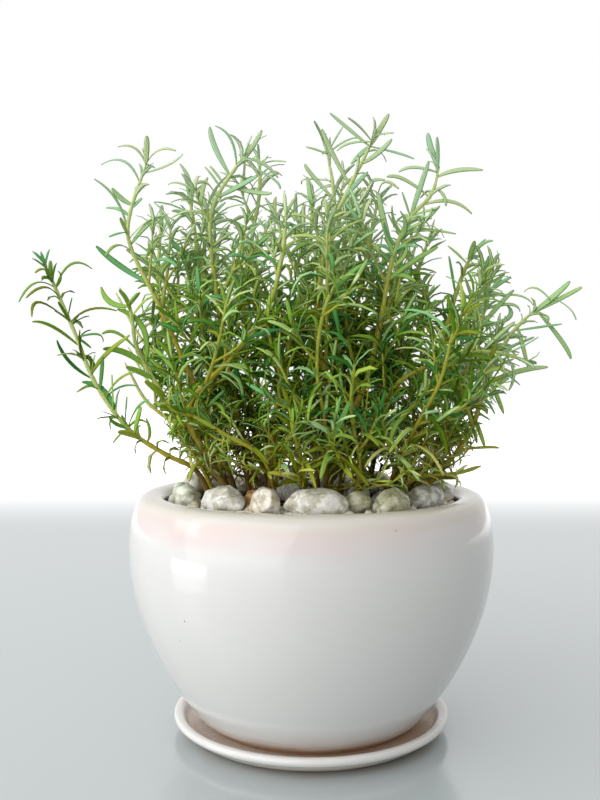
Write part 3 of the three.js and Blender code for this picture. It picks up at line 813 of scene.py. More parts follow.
def has_room(point):
    """True if a point lies in the plant's box and over its soil, stones and rim."""
    lowest = OVER_RIM_Z if math.hypot(point[0], point[1]) > RIM_REACH else OVER_SOIL_Z
    in_box = (point >= low_corner + BOX_MARGIN) & (point <= high_corner - BOX_MARGIN)
    if point[2] < lowest or not in_box.all():
        return False
    return not ((point > stone_boxes[:, 0]) & (point < stone_boxes[:, 1])).all(1).any()


LONG_LEAF = 15  # mm; shorter leaves have fewer stations
# How far along a leaf each station is, and how wide it is there.
PLAIN = np.array([(0, 0.4), (0.12, 0.66), (0.34, 0.95), (0.6, 1), (0.84, 0.8), (0.96, 0.5),
                  (1, 0.22)])
SHORT = np.array([(0, 0.45), (0.35, 0.95), (0.78, 0.82), (1, 0.25)])
FINE = np.array([(0, 0.4), (0.06, 0.54), (0.14, 0.72), (0.24, 0.86), (0.36, 0.96), (0.48, 1),
                 (0.6, 0.99), (0.72, 0.93), (0.83, 0.82), (0.92, 0.65), (0.98, 0.42), (1, 0.2)])
# Round a leaf's section: over its grooved upper face, and back under its rolled edges.
LEAF_SECTION = np.array([(-1, -0.2), (-0.5, 0.5), (0, 0.12), (0.5, 0.5), (1, -0.2), (0, -0.5)])
SECTION_ACROSS = [0, 0.25, 0.5, 0.75, 1, 0.5]
SECTION_UPPER = [0.5, 1, 1, 1, 0.5, 0]
LEAF_THICKNESS, USUAL_WIDTH = 1.4, 2.6
THIN_END = 0.45  # a leaf's thickness where it is narrowest, as a share
KNOT_REACH, KNOT_SWELLS = 1.3, 0.2  # mm along a stem, and a share of its width
FORK_REACH, FORK_SWELLS = 5, 0.25
TAPER_TO, FOOT_TO = 0.93, 0.2  # shares of a stem's length
TIP_SHARE = 0.4  # of the tip's radius, at its very end
MAP_ROUND, MAP_UP = 6.3, 20  # radians and mm to one unit of the bark's map
BARK, LEAF = 0, 1


class Spray:
    """One leafy stem as it is gathered, before its mesh is made."""

    def __init__(self, outlined):
        self.outlined = outlined
        self.leaves = []
        self.points, self.growth, self.across = [], [], []
        self.faces, self.kinds = [], []
        self.total = 0

    def fits(self, *points):
        """True if the points have room, and lie in the outline where that counts."""
        return all(has_room(point) and (not self.outlined or in_view(point)) for point in points)

    def add(self, points, faces, growth, across, kind):
        self.points.append(points)
        self.faces += (np.asarray(faces) + self.total).tolist()
        self.growth.append(growth)
        self.across.append(across)
        self.kinds += [kind] * len(faces)
        self.total += len(points)

    def close(self, ring, kind):
        self.faces.append(list(ring))
        self.kinds.append(kind)

    def bark(self, line, radii, ages, sides, knots=(), forks=(), flare=1):
        """A round tapering stem, a little swollen at its knots and its forks."""
        stops = line.stops
        ways = unit(np.gradient(stops, axis=0))
        shares = line.run / line.length
        near_knot, near_fork = (
            sum((np.exp(-(((shares - place) * line.length / reach) ** 2)) for place in places),
                0 * shares)
            for places, reach in ((knots, KNOT_REACH), (forks, FORK_REACH))
        )
        root_r, tip_r = radii
        taper = np.interp(shares, [0, TAPER_TO, 1], [root_r, tip_r, tip_r * TIP_SHARE])
        taper *= np.interp(shares, [0, FOOT_TO], [flare, 1])
        widths = taper * (1 + KNOT_SWELLS * near_knot + FORK_SWELLS * near_fork)
        angles = np.arange(sides) * 2 * math.pi / sides
        points = []
        for stop, way, width in zip(stops, ways, widths):
            level = unit(np.cross([0, 1, 0], way))
            other = np.cross(way, level)
            round_it = np.outer(np.cos(angles), level) + np.outer(np.sin(angles), other)
            points.append(stop + round_it * width)
        count = len(stops)
        ring = np.arange(sides)
        lower = (np.arange(count - 1) * sides)[:, None] + ring
        after = (np.arange(count - 1) * sides)[:, None] + (ring + 1) % sides
        faces = np.stack([lower, after, after + sides, lower + sides], -1).reshape(-1, 4)
        age = np.repeat(np.interp(shares, np.linspace(0, 1, len(ages)), ages), sides)
        forked = np.repeat(np.clip(near_fork, 0, 1), sides)
        growth = np.stack([0 * age + 0.5, age, forked, 0 * age + 1], 1)
        along = np.repeat(line.run / MAP_UP, sides)
        across = np.stack([np.tile(angles / MAP_ROUND, count), along], 1)
        start = self.total
        self.add(np.vstack(points), faces, growth, across, BARK)
        self.close(start + ring[::-1], BARK)
        self.close(start + ring + (count - 1) * sides, BARK)

    def leaf(self, foot, knee, tip, side, width, age, tint, stations=None):
        if stations is None:
            stations = PLAIN if np.linalg.norm(tip - foot) > LONG_LEAF else SHORT
        self.leaves.append((foot, knee, tip, side, width, age, tint, stations))

    def blades(self, leaves, stations):
        """Leaves lofted along bent middle lines."""
        columns = list(zip(*leaves))[:7]
        foot, knee, tip, side, width, age, tint = (np.array(column) for column in columns)
        along, wide = stations.T
        u = along[None, :, None]
        foot, knee, tip = foot[:, None], knee[:, None], tip[:, None]
        middle = (1 - u) ** 2 * foot + 2 * u * (1 - u) * knee + u**2 * tip
        way = unit((1 - u) * (knee - foot) + u * (tip - knee))
        side = unit(side[:, None] - (side[:, None] * way).sum(-1, keepdims=True) * way)
        upper = np.cross(way, side)
        half = (width[:, None] / 2 * wide)[..., None, None]
        thick = LEAF_THICKNESS * (THIN_END + (1 - THIN_END) * wide)[None, :, None, None]
        thick = thick * np.clip(width / USUAL_WIDTH, 0.45, 1.1)[:, None, None, None]
        section = LEAF_SECTION[None, None]
        points = (
            middle[:, :, None]
            + side[:, :, None] * section[..., :1] * half
            + upper[:, :, None] * section[..., 1:] * thick / 2
        )
        shape = points.shape[:3]
        total = math.prod(shape)
        corner = np.arange(shape[1] * shape[2]).reshape(shape[1:])
        start, end = corner[:-1], corner[1:]
        walls = np.stack(
            [start, end, np.roll(end, -1, 1), np.roll(start, -1, 1)], -1
        ).reshape(-1, 4)
        offsets = (np.arange(shape[0]) * corner.size)[:, None, None]
        growth = np.stack([
            np.broadcast_to(tint[:, None, None], shape),
            np.broadcast_to(age[:, None, None], shape),
            np.broadcast_to(SECTION_UPPER, shape),
            np.ones(shape),
        ], -1).reshape(total, 4)
        across = np.stack([
            np.broadcast_to(SECTION_ACROSS, shape),
            np.broadcast_to(along[None, :, None], shape),
        ], -1).reshape(total, 2)
        base = self.total
        self.add(points.reshape(-1, 3), (walls + offsets).reshape(-1, 4), growth, across, LEAF)
        ends = np.stack([corner[0], corner[-1][::-1]])
        for ring in (ends + offsets).reshape(-1, shape[2]) + base:
            self.close(ring.tolist(), LEAF)

    def piece(self, name, materials):
        for stations in (PLAIN, SHORT, FINE):
            chosen = [leaf for leaf in self.leaves if leaf[-1] is stations]
            if chosen:
                self.blades(chosen, stations)
        made = piece_from(name, np.vstack(self.points), self.faces, materials, "plant")
        mesh = made.data
        mesh.polygons.foreach_set("material_index", self.kinds)
        growth = mesh.attributes.new("growth", "FLOAT_COLOR", "POINT")
        growth.data.foreach_set("color", np.vstack(self.growth).ravel())
        corners = np.empty(len(mesh.loops), np.int32)
        mesh.loops.foreach_get("vertex_index", corners)
        along = mesh.uv_layers.new(name="along").uv
        along.foreach_set("vector", np.vstack(self.across)[corners].ravel())
        return made


LEAF_LENGTH, LENGTH_SPREAD = 30, (0.76, 1.1)
LEAF_WIDTH, WIDTH_SPREAD = 2.45, (0.78, 1.12)
SHORTENED = 0.78  # a leaf that doesn't fit is tried once more, at this share of its length
ROLL_SPREAD, TURN_SPREAD = 0.45, 0.25  # these angles and the next are in radians
OPENING, OPENS_WITH_AGE, YOUNG_OPENING, OPENING_SPREAD = 0.72, 0.3, -0.46, 0.16
BEND, YOUNG_BEND, BEND_SPREAD = 1.35, -0.6, 0.4
YOUNG_REACH = 26  # mm from a tip over which leaves reach their full length
OLD_REACH = 130  # and over which they get old
FALLEN, FALLEN_WITH_AGE = 0.05, 0.2  # shares of the grown leaves
TUFTED, TUFTED_FROM = 0.34, 22  # the share of leaves with a small tuft, and mm from the tip
TUFT_LENGTHS = (7, 16)
PAIR_GAP = (2.6, 0.27, 9.5)  # at the tip, its growth for each mm below it, and at most
GAP_SPREAD = (0.82, 1.18)
SIDEWAYS = 0.6  # the sideways part of a direction that counts as to the left or right
PLACED_GAP = 1.1  # how much wider the gaps are among the leaves placed one by one


def grow_leaf(spray, chance, root, way, turn, opening, bend, length, age, slim=1):
    """A leaf that leaves a stem's way by opening, and bends on outwards by bend."""
    out = outwards(way, turn)
    droop = chance.uniform(0.1, 1) * min(1, opening)
    leaving = way * math.cos(opening) + out * math.sin(opening)
    ending = unit(way * math.cos(opening + bend) + out * math.sin(opening + bend) - droop * UP)
    for _ in range(2):
        knee = root + leaving * length * 0.5
        tip = knee + ending * length * 0.5
        if spray.fits(tip, knee, (root + 2 * knee + tip) / 4):
            break
        length *= SHORTENED
    else:
        return
    side = np.cross(way, out)
    roll = chance.normal(0, ROLL_SPREAD)
    side = side * math.cos(roll) + np.cross(unit(tip - root), side) * math.sin(roll)
    width = slim * LEAF_WIDTH * min(1, 0.4 + length / 32) * chance.uniform(*WIDTH_SPREAD)
    spray.leaf(root - out * 0.4, knee, tip, side, width, age, chance.random())


def dress(spray, chance, line, bare, facing, vigour=1, slim=1, sideways_from=math.inf):
    """Leaf pairs down a line from its tip. Above sideways_from a leaf that points to
    the left or right is left out, because such leaves are placed one by one there."""
    first_gap, growth, most = PAIR_GAP
    down, pair, knots = 1, 0, []
    while down < line.length * (1 - bare):
        share = 1 - down / line.length
        way, root = line.way(share), line.at(share)
        youth = max(0, 1 - down / YOUNG_REACH)
        age = min(1, down / OLD_REACH)
        for half in (0, 1):
            if youth == 0 and chance.random() < FALLEN + FALLEN_WITH_AGE * age:
                continue
            turn = facing + pair * math.pi / 2 + half * math.pi + chance.normal(0, TURN_SPREAD)
            sideways = abs(outwards(way, turn)[0]) > SIDEWAYS
            if sideways and root[2] > sideways_from and down > 3:
                continue
            opening = OPENING + OPENS_WITH_AGE * age + YOUNG_OPENING * youth
            opening += chance.normal(0, OPENING_SPREAD)
            bend = BEND + YOUNG_BEND * youth + chance.normal(0, BEND_SPREAD)
            length = LEAF_LENGTH * vigour * (1 - 0.5 * youth) * chance.uniform(*LENGTH_SPREAD)
            grow_leaf(spray, chance, root, way, turn, opening, bend, length, age, slim)
            if down > TUFTED_FROM and chance.random() < TUFTED * vigour:
                axil_tuft(spray, chance, root, way, turn, age)
        knots.append(share)
        gap = min(most, first_gap + growth * down) * vigour**0.7
        gap *= PLACED_GAP if root[2] > sideways_from else 1
        down += gap * chance.uniform(*GAP_SPREAD)
        pair += 1
    return knots


def axil_tuft(spray, chance, root, way, turn, age):
    """Two or three small leaves that start a new shoot above a leaf."""
    out = outwards(way, turn)
    heading = unit(way + out * chance.uniform(0.3, 0.9))
    for n in range(chance.integers(2, 4)):
        around = turn + n * 2.2 + chance.normal(0, 0.3)
        opening, bend = chance.uniform(0.15, 0.6), chance.uniform(0.2, 0.9)
        length = chance.uniform(*TUFT_LENGTHS)
        grow_leaf(spray, chance, root + out * 0.6, heading, around, opening, bend, length, age * 0.6)


TWIG_BARE = 0.15  # the share of a twig or a side shoot without leaves
TWIG_AGES, OLD_AGES = (0.45, 0.05), (1, 0.35)


def twig(spray, chance, line, share, turn, length, lean, vigour, slim=1, ages=TWIG_AGES):
    """A thin leafy shoot from a line, if it fits. It leans out by lean and turns up."""
    way = line.way(share)
    slant = unit((1 - lean) * way + lean * outwards(way, turn))
    start = line.at(share)
    elbow = start + slant * length * 0.5
    end = elbow + unit(slant + 0.5 * UP) * length * 0.5
    if not spray.fits(elbow, end):
        return
    grown = Line(smoothed([start, elbow, end], TWIG_STEPS))
    knots = dress(spray, chance, grown, TWIG_BARE, chance.uniform(0, math.pi), vigour, slim)
    spray.bark(grown, (TWIG_R * slim, TWIG_TIP_R * slim), ages, TWIG_SIDES, knots)


# Colours of the leaves low in the plant, half way up and at its top. Each row has a
# bluish green, the usual green and an olive, and then the felt of their undersides. The
# top row is paler as painted light, and is also painted on the lit right side.
LEAF_HUES = [
    ((0.26, 0.50, 0.11), (0.60, 0.69, 0.11), (0.86, 0.73, 0.19), (0.95, 0.93, 0.54)),
    ((0.17, 0.54, 0.18), (0.36, 0.64, 0.11), (0.49, 0.64, 0.085), (0.64, 0.80, 0.33)),
    ((0.42, 0.66, 0.41), (0.51, 0.70, 0.40), (0.59, 0.69, 0.37), (0.68, 0.76, 0.56)),
]
# The same three greens on a darker leaf, then a darker leaf low down and the darkest of all.
# They serve darker leaves, and also the painted shade in the plant's middle and at its far left.
DARK_HUES = (0.035, 0.215, 0.045), (0.12, 0.25, 0.009), (0.18, 0.215, 0.008)
LOW_DARK, DARKEST = (0.26, 0.25, 0.016), (0.01, 0.04, 0.001)
TONE_STEPS = 7.3  # a leaf's tint times this gives its tone, from light to dark
# Of these, the first is a painted sheen for the lighter leaves.
# Of these, the second is painted shade for the leaves' rolled edges.
PAINTED_SHEEN, SHADED_MARGIN, BROWN_TIP = (0.80, 0.86, 0.55), (0.05, 0.09, 0.015), (0.17, 0.14, 0.05)
# The midrib's green, in shade and in painted light.
RIB, LIT_RIB = (0.30, 0.38, 0.03), (0.44, 0.54, 0.16)
# Streaks of bark, dark and light: green and golden, each in shade and in painted light, and woody.
GREEN_BARK = ((0.27, 0.32, 0.03), (0.45, 0.48, 0.07)), ((0.44, 0.54, 0.18), (0.64, 0.72, 0.34))
GOLDEN_BARK = ((0.29, 0.24, 0.015), (0.52, 0.43, 0.05)), ((0.44, 0.42, 0.03), (0.66, 0.60, 0.09))
WOOD, FORKED = ((0.10, 0.058, 0.016), (0.30, 0.20, 0.06)), (0.34, 0.17, 0.035)

# The spans over which bark and leaves change, and light and shade are painted on them: in mm
# to the side, outwards or upwards.
BARK_LIT_SIDES, BARK_LIT_SIDES_UP, BARK_LIT_TOP = (60, 95), (130, 170), (195, 270)
SHADE_LEFT, LIT_RIGHT, LIT_RIGHT_UP = (-110, -80), (65, 100), (130, 180)
LIT_TOP, INNER_SHADE_OUT, INNER_SHADE_UP, LOW_DOWN = (170, 270), (22, 62), (170, 240), (120, 150)
HALF_WAY_UP, HIGH_UP, DARK_HALF_WAY_UP = (125, 165), (200, 285), (120, 160)


def bark_finish():
    """Bark by its growth attribute: (0.5, age from tip to root, nearness to a fork)."""
    finish = Finish("rosemary_bark", {"Specular IOR Level": 0.12})
    growth = finish.attribute("growth", "Vector")
    age = finish.part(growth, "Y") + (finish.grain(120) - 0.5) * 0.3
    streaks = finish.grain(900, 3, finish.stretched(1, 1, 0.16))
    sideways, height = (finish.part(finish.place(), axis) for axis in "XZ")
    # Stems at the plant's sides and top are painted in bright light, with the lighter bark colours.
    outer = finish.rise(abs(sideways), BARK_LIT_SIDES) * finish.rise(height, BARK_LIT_SIDES_UP)
    painted_lighting = finish.larger(outer * 0.8, finish.rise(height, BARK_LIT_TOP))
    fresh, golden = (
        finish.mix(painted_lighting, *(finish.mix(streaks, *pair) for pair in bark))
        for bark in (GREEN_BARK, GOLDEN_BARK)
    )
    grown = finish.mix(finish.ease(age, 0.18, 0.7), fresh, golden)
    forked = finish.mix(finish.part(growth, "Z") * 0.55, grown, FORKED)
    ripe = finish.ease(age, 0.68, 1)
    return finish.done({
        "Base Color": finish.mix(ripe, forked, finish.mix(streaks, *WOOD)),
        "Roughness": ripe * 0.3 + 0.5,
        "Normal": finish.bump(streaks, 0.25),
    })


def leaf_finish():
    """Leaves by their growth attribute: (tint, age, 1 on the upper face and 0 below)."""
    finish = Finish("rosemary_leaf", {"Specular IOR Level": 0.02})
    growth = finish.attribute("growth", "Vector")
    tint, age, upper = (finish.part(growth, axis) for axis in "XYZ")
    along = finish.node("ShaderNodeUVMap", {"uv_map": "along"}, {})
    across, up_leaf = (finish.part(along, axis) for axis in "XY")
    sideways, height = (finish.part(finish.place(), axis) for axis in "XZ")
    face_up = finish.ease(upper, 0.12, 0.4)

    def tinted(bluish, green, olive):
        cool = finish.mix(finish.ease(tint, 0.05, 0.4), bluish, green)
        return finish.mix(finish.ease(tint, 0.6, 0.95), cool, olive)

    # Light and shade painted by where a leaf grows: the right side and the top are painted in
    # bright light, the middle of the plant in its own painted shade, and the far left in painted
    # shade against the light.
    to_left = 1 - finish.rise(sideways, SHADE_LEFT)
    to_right = finish.rise(sideways, LIT_RIGHT) * finish.rise(height, LIT_RIGHT_UP)
    raised = finish.larger(to_right * 0.8, finish.rise(height, LIT_TOP))
    # Painted shade on the leaves in the middle of the plant, below its top.
    inner = (1 - finish.rise(finish.from_axis(), INNER_SHADE_OUT)) * (1 - finish.rise(height, INNER_SHADE_UP))
    low_down = 1 - finish.rise(height, LOW_DOWN)
    painted_lighting = (1 - raised * 0.78) * (1 - low_down * 0.25) * (face_up * 0.4 + 0.6)
    tone = finish.maths("FRACT", tint * TONE_STEPS)
    # A leaf's own tone, deepened by painted shade in the middle and at the far left, and eased where
    # painted light falls.
    darker = (tone * 0.78 + inner * 0.5) * painted_lighting + to_left * 0.22

    low, half_way, high = (finish.mix(face_up, felt, tinted(*hues)) for *hues, felt in LEAF_HUES)
    lower = finish.mix(finish.rise(height, HALF_WAY_UP), low, half_way)
    # The right side and the top are painted paler, as painted light.
    paler = finish.larger(to_right * 0.6, finish.rise(height, HIGH_UP))
    # A painted sheen pales the lightest leaves.
    sheen_share = (1 - finish.ease(tone, 0, 0.2)) * 0.4
    light = finish.mix(sheen_share, finish.mix(paler, lower, high), PAINTED_SHEEN)
    dark = finish.mix(finish.rise(height, DARK_HALF_WAY_UP), LOW_DARK, tinted(*DARK_HUES))
    deeper = finish.mix(finish.ease(darker, 0.05, 0.55), light, dark)
    toned = finish.mix(finish.ease(darker, 0.5, 1), deeper, DARKEST)

    off_rib = abs(across - 0.5)
    # The midrib is painted brighter where painted light falls.
    rib_green = finish.mix(raised, RIB, LIT_RIB)
    ribbed = finish.mix((1 - finish.ease(off_rib, 0.03, 0.1)) * 0.25, toned, rib_green)
    # Painted shade darkens the leaves' rolled edges, more in the lit top.
    margin_shade = finish.ease(off_rib, 0.3, 0.5) * (raised * 0.2 + 0.35)
    rimmed = finish.mix(margin_shade, ribbed, SHADED_MARGIN)
    foot = (1 - finish.ease(up_leaf, 0, 0.2)) * (1 - age * 0.5) * 0.6
    footed = finish.mix(foot, rimmed, rib_green)
    return finish.done({
        "Base Color": finish.mix(finish.ease(up_leaf, 0.93, 1) * 0.45, footed, BROWN_TIP),
        "Roughness": finish.grain(300) * 0.15 + 0.4,
    })


# Leaves that stand out against the light, placed one by one. Each is a row of how much of
# its face the camera sees, from 0 to 1, and of the pixels of its foot, of the point half way
# along it where it bends, and of its tip.
PLACED_LEAVES = {
    "tall_left": [
        (0.9, 147, 160, 147, 136), (0.4, 142, 160, 135, 148, 118, 147),
        (0.4, 150, 160, 159, 150, 176, 151), (0.4, 150, 175, 168, 165, 183, 154),
        (0.5, 138, 181, 124, 161, 101, 165), (0.5, 149, 162, 155, 168),
        (0.4, 128, 231, 116, 199, 94, 179), (0.8, 133, 207, 121, 198, 112, 188),
        (0.6, 130, 217, 119, 209, 106, 208), (0.5, 127, 233, 109, 237),
        (0.5, 129, 254, 117, 245, 105, 257), (0.9, 146, 281, 119, 265, 96, 246),
        (0.8, 132, 246, 147, 225, 162, 216), (0.3, 132, 240, 155, 217, 176, 223),
        (0.6, 135, 210, 142, 198), (0.5, 126, 236, 120, 218),
    ],
    "far_left": [
        (0.5, 55, 285, 35, 283, 19, 302), (0.5, 65, 300, 45, 287, 26, 298),
        (0.5, 68, 323, 40, 302, 32, 317), (0.6, 77, 348, 52, 326, 32, 322),
        (0.6, 90, 382, 70, 362, 57, 340), (0.6, 62, 282, 71, 264, 92, 269),
        (0.5, 74, 323, 91, 309, 117, 311), (0.4, 68, 322, 58, 302), (0.4, 72, 317, 72, 298),
        (0.4, 78, 347, 82, 335, 91, 330), (0.4, 86, 333, 91, 348),
        (0.4, 88, 335, 97, 334, 103, 342), (0.9, 94, 373, 105, 355, 130, 335),
        (0.9, 107, 388, 103, 357), (0.5, 110, 397, 118, 380, 135, 372),
        (0.4, 112, 395, 120, 387, 137, 386), (0.4, 125, 404, 112, 375),
        (1.0, 123, 410, 104, 391, 82, 382), (0.5, 83, 388, 77, 392),
        (0.5, 130, 425, 137, 408, 149, 400), (0.9, 140, 425, 141, 407),
        (0.5, 125, 430, 115, 423, 109, 417), (0.9, 138, 443, 118, 432), (0.5, 117, 437, 113, 443),
        (0.4, 95, 373, 95, 355), (0.4, 93, 373, 90, 358, 83, 357), (0.4, 130, 423, 127, 397),
        (0.5, 54, 278, 51, 261), (0.4, 52, 278, 43, 269, 35, 273),
        (0.5, 53, 280, 47, 277, 42, 279), (0.6, 57, 284, 50, 276, 45, 267),
        (0.5, 60, 288, 61, 278, 58, 271), (0.7, 140, 441, 128, 428, 122, 415),
        (0.6, 146, 446, 150, 432, 146, 418), (0.5, 128, 427, 138, 420, 148, 424),
    ],
    "left_slim": [
        (0.9, 118, 310, 110, 302, 101, 287), (1.0, 165, 352, 143, 328, 117, 309),
        (0.6, 132, 315, 127, 300, 119, 290), (0.4, 150, 297, 138, 293, 127, 305),
        (0.5, 134, 315, 148, 298), (0.4, 138, 351, 118, 333, 102, 334),
        (0.9, 152, 365, 126, 353, 103, 349), (0.9, 152, 383, 126, 367), (0.9, 169, 402, 145, 381),
        (0.6, 168, 413, 153, 404),
    ],
    "crown_left": [
        (0.8, 224, 173, 215, 147, 210, 127), (0.5, 237, 168, 231, 139, 215, 126),
        (0.9, 237, 168, 251, 149, 262, 130), (0.4, 243, 155, 252, 136),
        (0.6, 246, 159, 264, 164, 278, 178), (0.5, 256, 176, 271, 177, 280, 189),
        (0.8, 216, 198, 239, 186, 258, 175), (0.8, 228, 190, 254, 192, 272, 193),
        (0.4, 208, 202, 185, 185, 168, 185), (0.4, 212, 212, 197, 202, 181, 201),
        (0.4, 211, 183, 205, 167), (0.4, 217, 181, 210, 166), (0.4, 214, 198, 207, 183, 196, 184),
    ],
    "left_inner": [
        (0.7, 199, 210, 190, 183, 180, 164), (0.5, 193, 229, 185, 214, 172, 211),
        (0.8, 193, 269, 180, 250, 171, 239),
    ],
    "crown_slim": [
        (0.4, 264, 165, 273, 161, 286, 162), (0.5, 262, 160, 258, 144),
        (0.4, 258, 183, 271, 172, 282, 176), (0.4, 262, 168, 268, 156),
    ],
    "back_far_left": [(0.8, 159, 233, 162, 205)],
    "centre_back": [
        (0.6, 327, 154, 322, 136, 314, 121), (0.5, 324, 148, 306, 147),
        (0.8, 318, 200, 313, 176, 305, 164), (0.4, 316, 184, 307, 179, 302, 184),
        (0.4, 335, 136, 343, 127), (0.4, 338, 152, 347, 140, 362, 139),
    ],
    "centre_tall": [
        (0.7, 362, 144, 348, 128, 330, 113), (0.5, 367, 139, 360, 127, 348, 118),
        (0.9, 371, 145, 380, 129, 389, 114), (0.4, 375, 140, 382, 134, 394, 133),
        (0.9, 364, 168, 378, 153, 392, 139), (0.5, 380, 152, 398, 153, 414, 159),
        (0.8, 365, 146, 351, 164), (0.5, 365, 138, 350, 143, 337, 151),
        (0.9, 342, 198, 356, 184, 368, 172), (0.8, 343, 180, 332, 152, 322, 129),
    ],
    "crown_right": [
        (0.9, 435, 168, 431, 148, 428, 133), (0.7, 438, 172, 438, 152, 437, 137),
        (0.8, 440, 178, 458, 170, 483, 170), (0.6, 430, 170, 414, 167, 399, 172),
        (0.7, 416, 187, 404, 179, 387, 177), (0.9, 410, 216, 420, 188, 429, 161),
        (0.7, 437, 188, 443, 194, 446, 206), (0.7, 420, 203, 450, 201, 472, 214),
        (0.5, 412, 216, 426, 211, 439, 207), (0.5, 402, 230, 420, 219, 430, 229),
        (0.6, 396, 240, 420, 230, 456, 234), (1.0, 388, 254, 384, 222, 378, 192),
        (0.4, 398, 210, 402, 192), (1.0, 388, 282, 412, 262, 438, 247),
        (0.6, 394, 255, 416, 240, 436, 240), (0.5, 398, 243, 418, 229, 438, 236),
        (0.6, 390, 268, 404, 256, 406, 243), (0.7, 388, 262, 375, 248, 361, 250),
        (0.6, 387, 272, 372, 263, 360, 269), (0.8, 386, 278, 402, 275, 416, 282),
        (0.5, 400, 232, 394, 220, 392, 206), (0.7, 404, 226, 412, 214, 420, 206),
        (0.6, 400, 236, 410, 228, 422, 223), (0.6, 396, 246, 388, 234, 384, 222),
        (0.7, 398, 240, 405, 228, 403, 214), (0.5, 408, 220, 418, 216, 432, 219),
        (0.6, 392, 256, 402, 246, 418, 247), (0.6, 392, 256, 384, 246, 376, 249),
    ],
    "back_right": [
        (0.6, 404, 238, 410, 222, 424, 216), (0.5, 403, 240, 395, 226, 388, 214),
        (0.6, 404, 240, 406, 224, 400, 211), (0.5, 404, 243, 418, 236, 430, 240),
    ],
    "crown_back": [
        (0.6, 350, 212, 356, 196, 366, 188), (0.5, 350, 214, 342, 200, 336, 188),
        (0.6, 351, 216, 362, 206, 374, 204), (0.5, 350, 212, 352, 200, 350, 186),
    ],
    "crown_mid": [
        (0.6, 376, 206, 371, 190, 362, 178), (0.5, 384, 204, 392, 184),
        (0.4, 370, 190, 384, 182, 399, 189), (0.4, 360, 190, 370, 183, 385, 180),
    ],
    "right_inner": [
        (0.5, 471, 264, 481, 245, 493, 241), (0.5, 467, 279, 485, 262, 498, 264),
        (0.7, 467, 262, 475, 241), (0.5, 461, 262, 448, 246), (0.5, 447, 293, 449, 256),
    ],
    "right_fork": [
        (0.4, 498, 298, 517, 295, 533, 305), (1.0, 494, 303, 490, 258), (0.5, 492, 298, 483, 261),
        (0.5, 500, 298, 505, 272), (0.5, 501, 298, 511, 277), (1.0, 503, 339, 514, 290),
        (0.6, 497, 318, 484, 308, 474, 312), (0.6, 498, 312, 510, 304, 520, 312),
        (0.7, 499, 322, 488, 300, 484, 290), (0.6, 500, 330, 486, 322, 475, 330),
        (0.7, 500, 332, 508, 318, 506, 304), (0.5, 496, 306, 486, 296, 477, 300),
    ],
    "far_right": [
        (0.9, 532, 319, 553, 297, 570, 281), (0.9, 536, 320, 563, 297, 582, 287),
        (0.5, 547, 297, 536, 288, 524, 292), (0.4, 557, 304, 569, 308, 576, 320),
        (0.5, 515, 332, 539, 327, 562, 324), (0.9, 550, 327, 562, 341, 571, 359),
        (0.4, 536, 319, 546, 315, 547, 322), (0.5, 503, 351, 519, 343, 534, 337),
        (0.9, 527, 334, 528, 367), (0.5, 514, 348, 520, 361), (0.9, 490, 382, 519, 371, 548, 367),
        (0.9, 501, 382, 504, 414), (0.5, 512, 373, 520, 385), (0.5, 505, 361, 515, 367),
        (0.6, 490, 396, 495, 414), (0.9, 482, 423, 485, 447), (0.5, 472, 427, 477, 443),
        (0.5, 480, 415, 490, 420), (0.5, 471, 455, 486, 447, 499, 448), (0.5, 480, 399, 500, 390),
    ],
    "arch_left": [
        (0.5, 240, 352, 263, 342, 283, 358), (0.5, 227, 365, 240, 365, 253, 372),
        (0.7, 248, 373, 245, 402),
    ],
    "front_left": [(1.0, 200, 415, 180, 410, 160, 406), (0.5, 214, 427, 196, 410, 184, 410)],
    "front_tuft": [(0.5, 293, 425, 293, 408), (0.5, 297, 438, 282, 428, 270, 438)],
}
HAND_PLACED = ("far_left", "far_right")  # their leaves to the sides are all placed here
PLACED_WIDTH, PLACED_SPREAD = 2.8, (0.88, 1.08)
EDGE_ON_WIDTH = 0.7  # the share of its width that a leaf seen edge on has
FEW_PLACED = 4  # a stem with no more of them also grows leaves to its left and right
FULL_REACH = 25  # mm that a placed leaf may be long, with what it leans to or from the camera
LEAST_REACH, LEANS, LEAN_HALF_WAY = 3, (-0.8, 0.45), 0.42
MORE_FACE = 0.15  # added to what the camera sees of a leaf that stands among grown ones
ARCHED = 0.04  # how far up a leaf with no bend of its own arches, as a share of its length
TONE_FROM, TONE_REACH = 0.12, 0.5  # neither the lightest tone nor the darkest
FREE_ABOVE = 4  # mm under a stem's lowest placed leaf


def under_top(pixel, depth):
    """The point seen at a pixel, moved towards the camera till it is under the plant's top."""
    point = at_pixel(pixel, depth)
    while point[2] > high_corner[2] - 2 * BOX_MARGIN:
        depth -= 1
        point = at_pixel(pixel, depth)
    return point


def raised_share(height):
    """0 at the pot's rim and 1 at the plant's top."""
    return min(1, max(0, (height - OVER_RIM_Z) / (high_corner[2] - OVER_RIM_Z)))


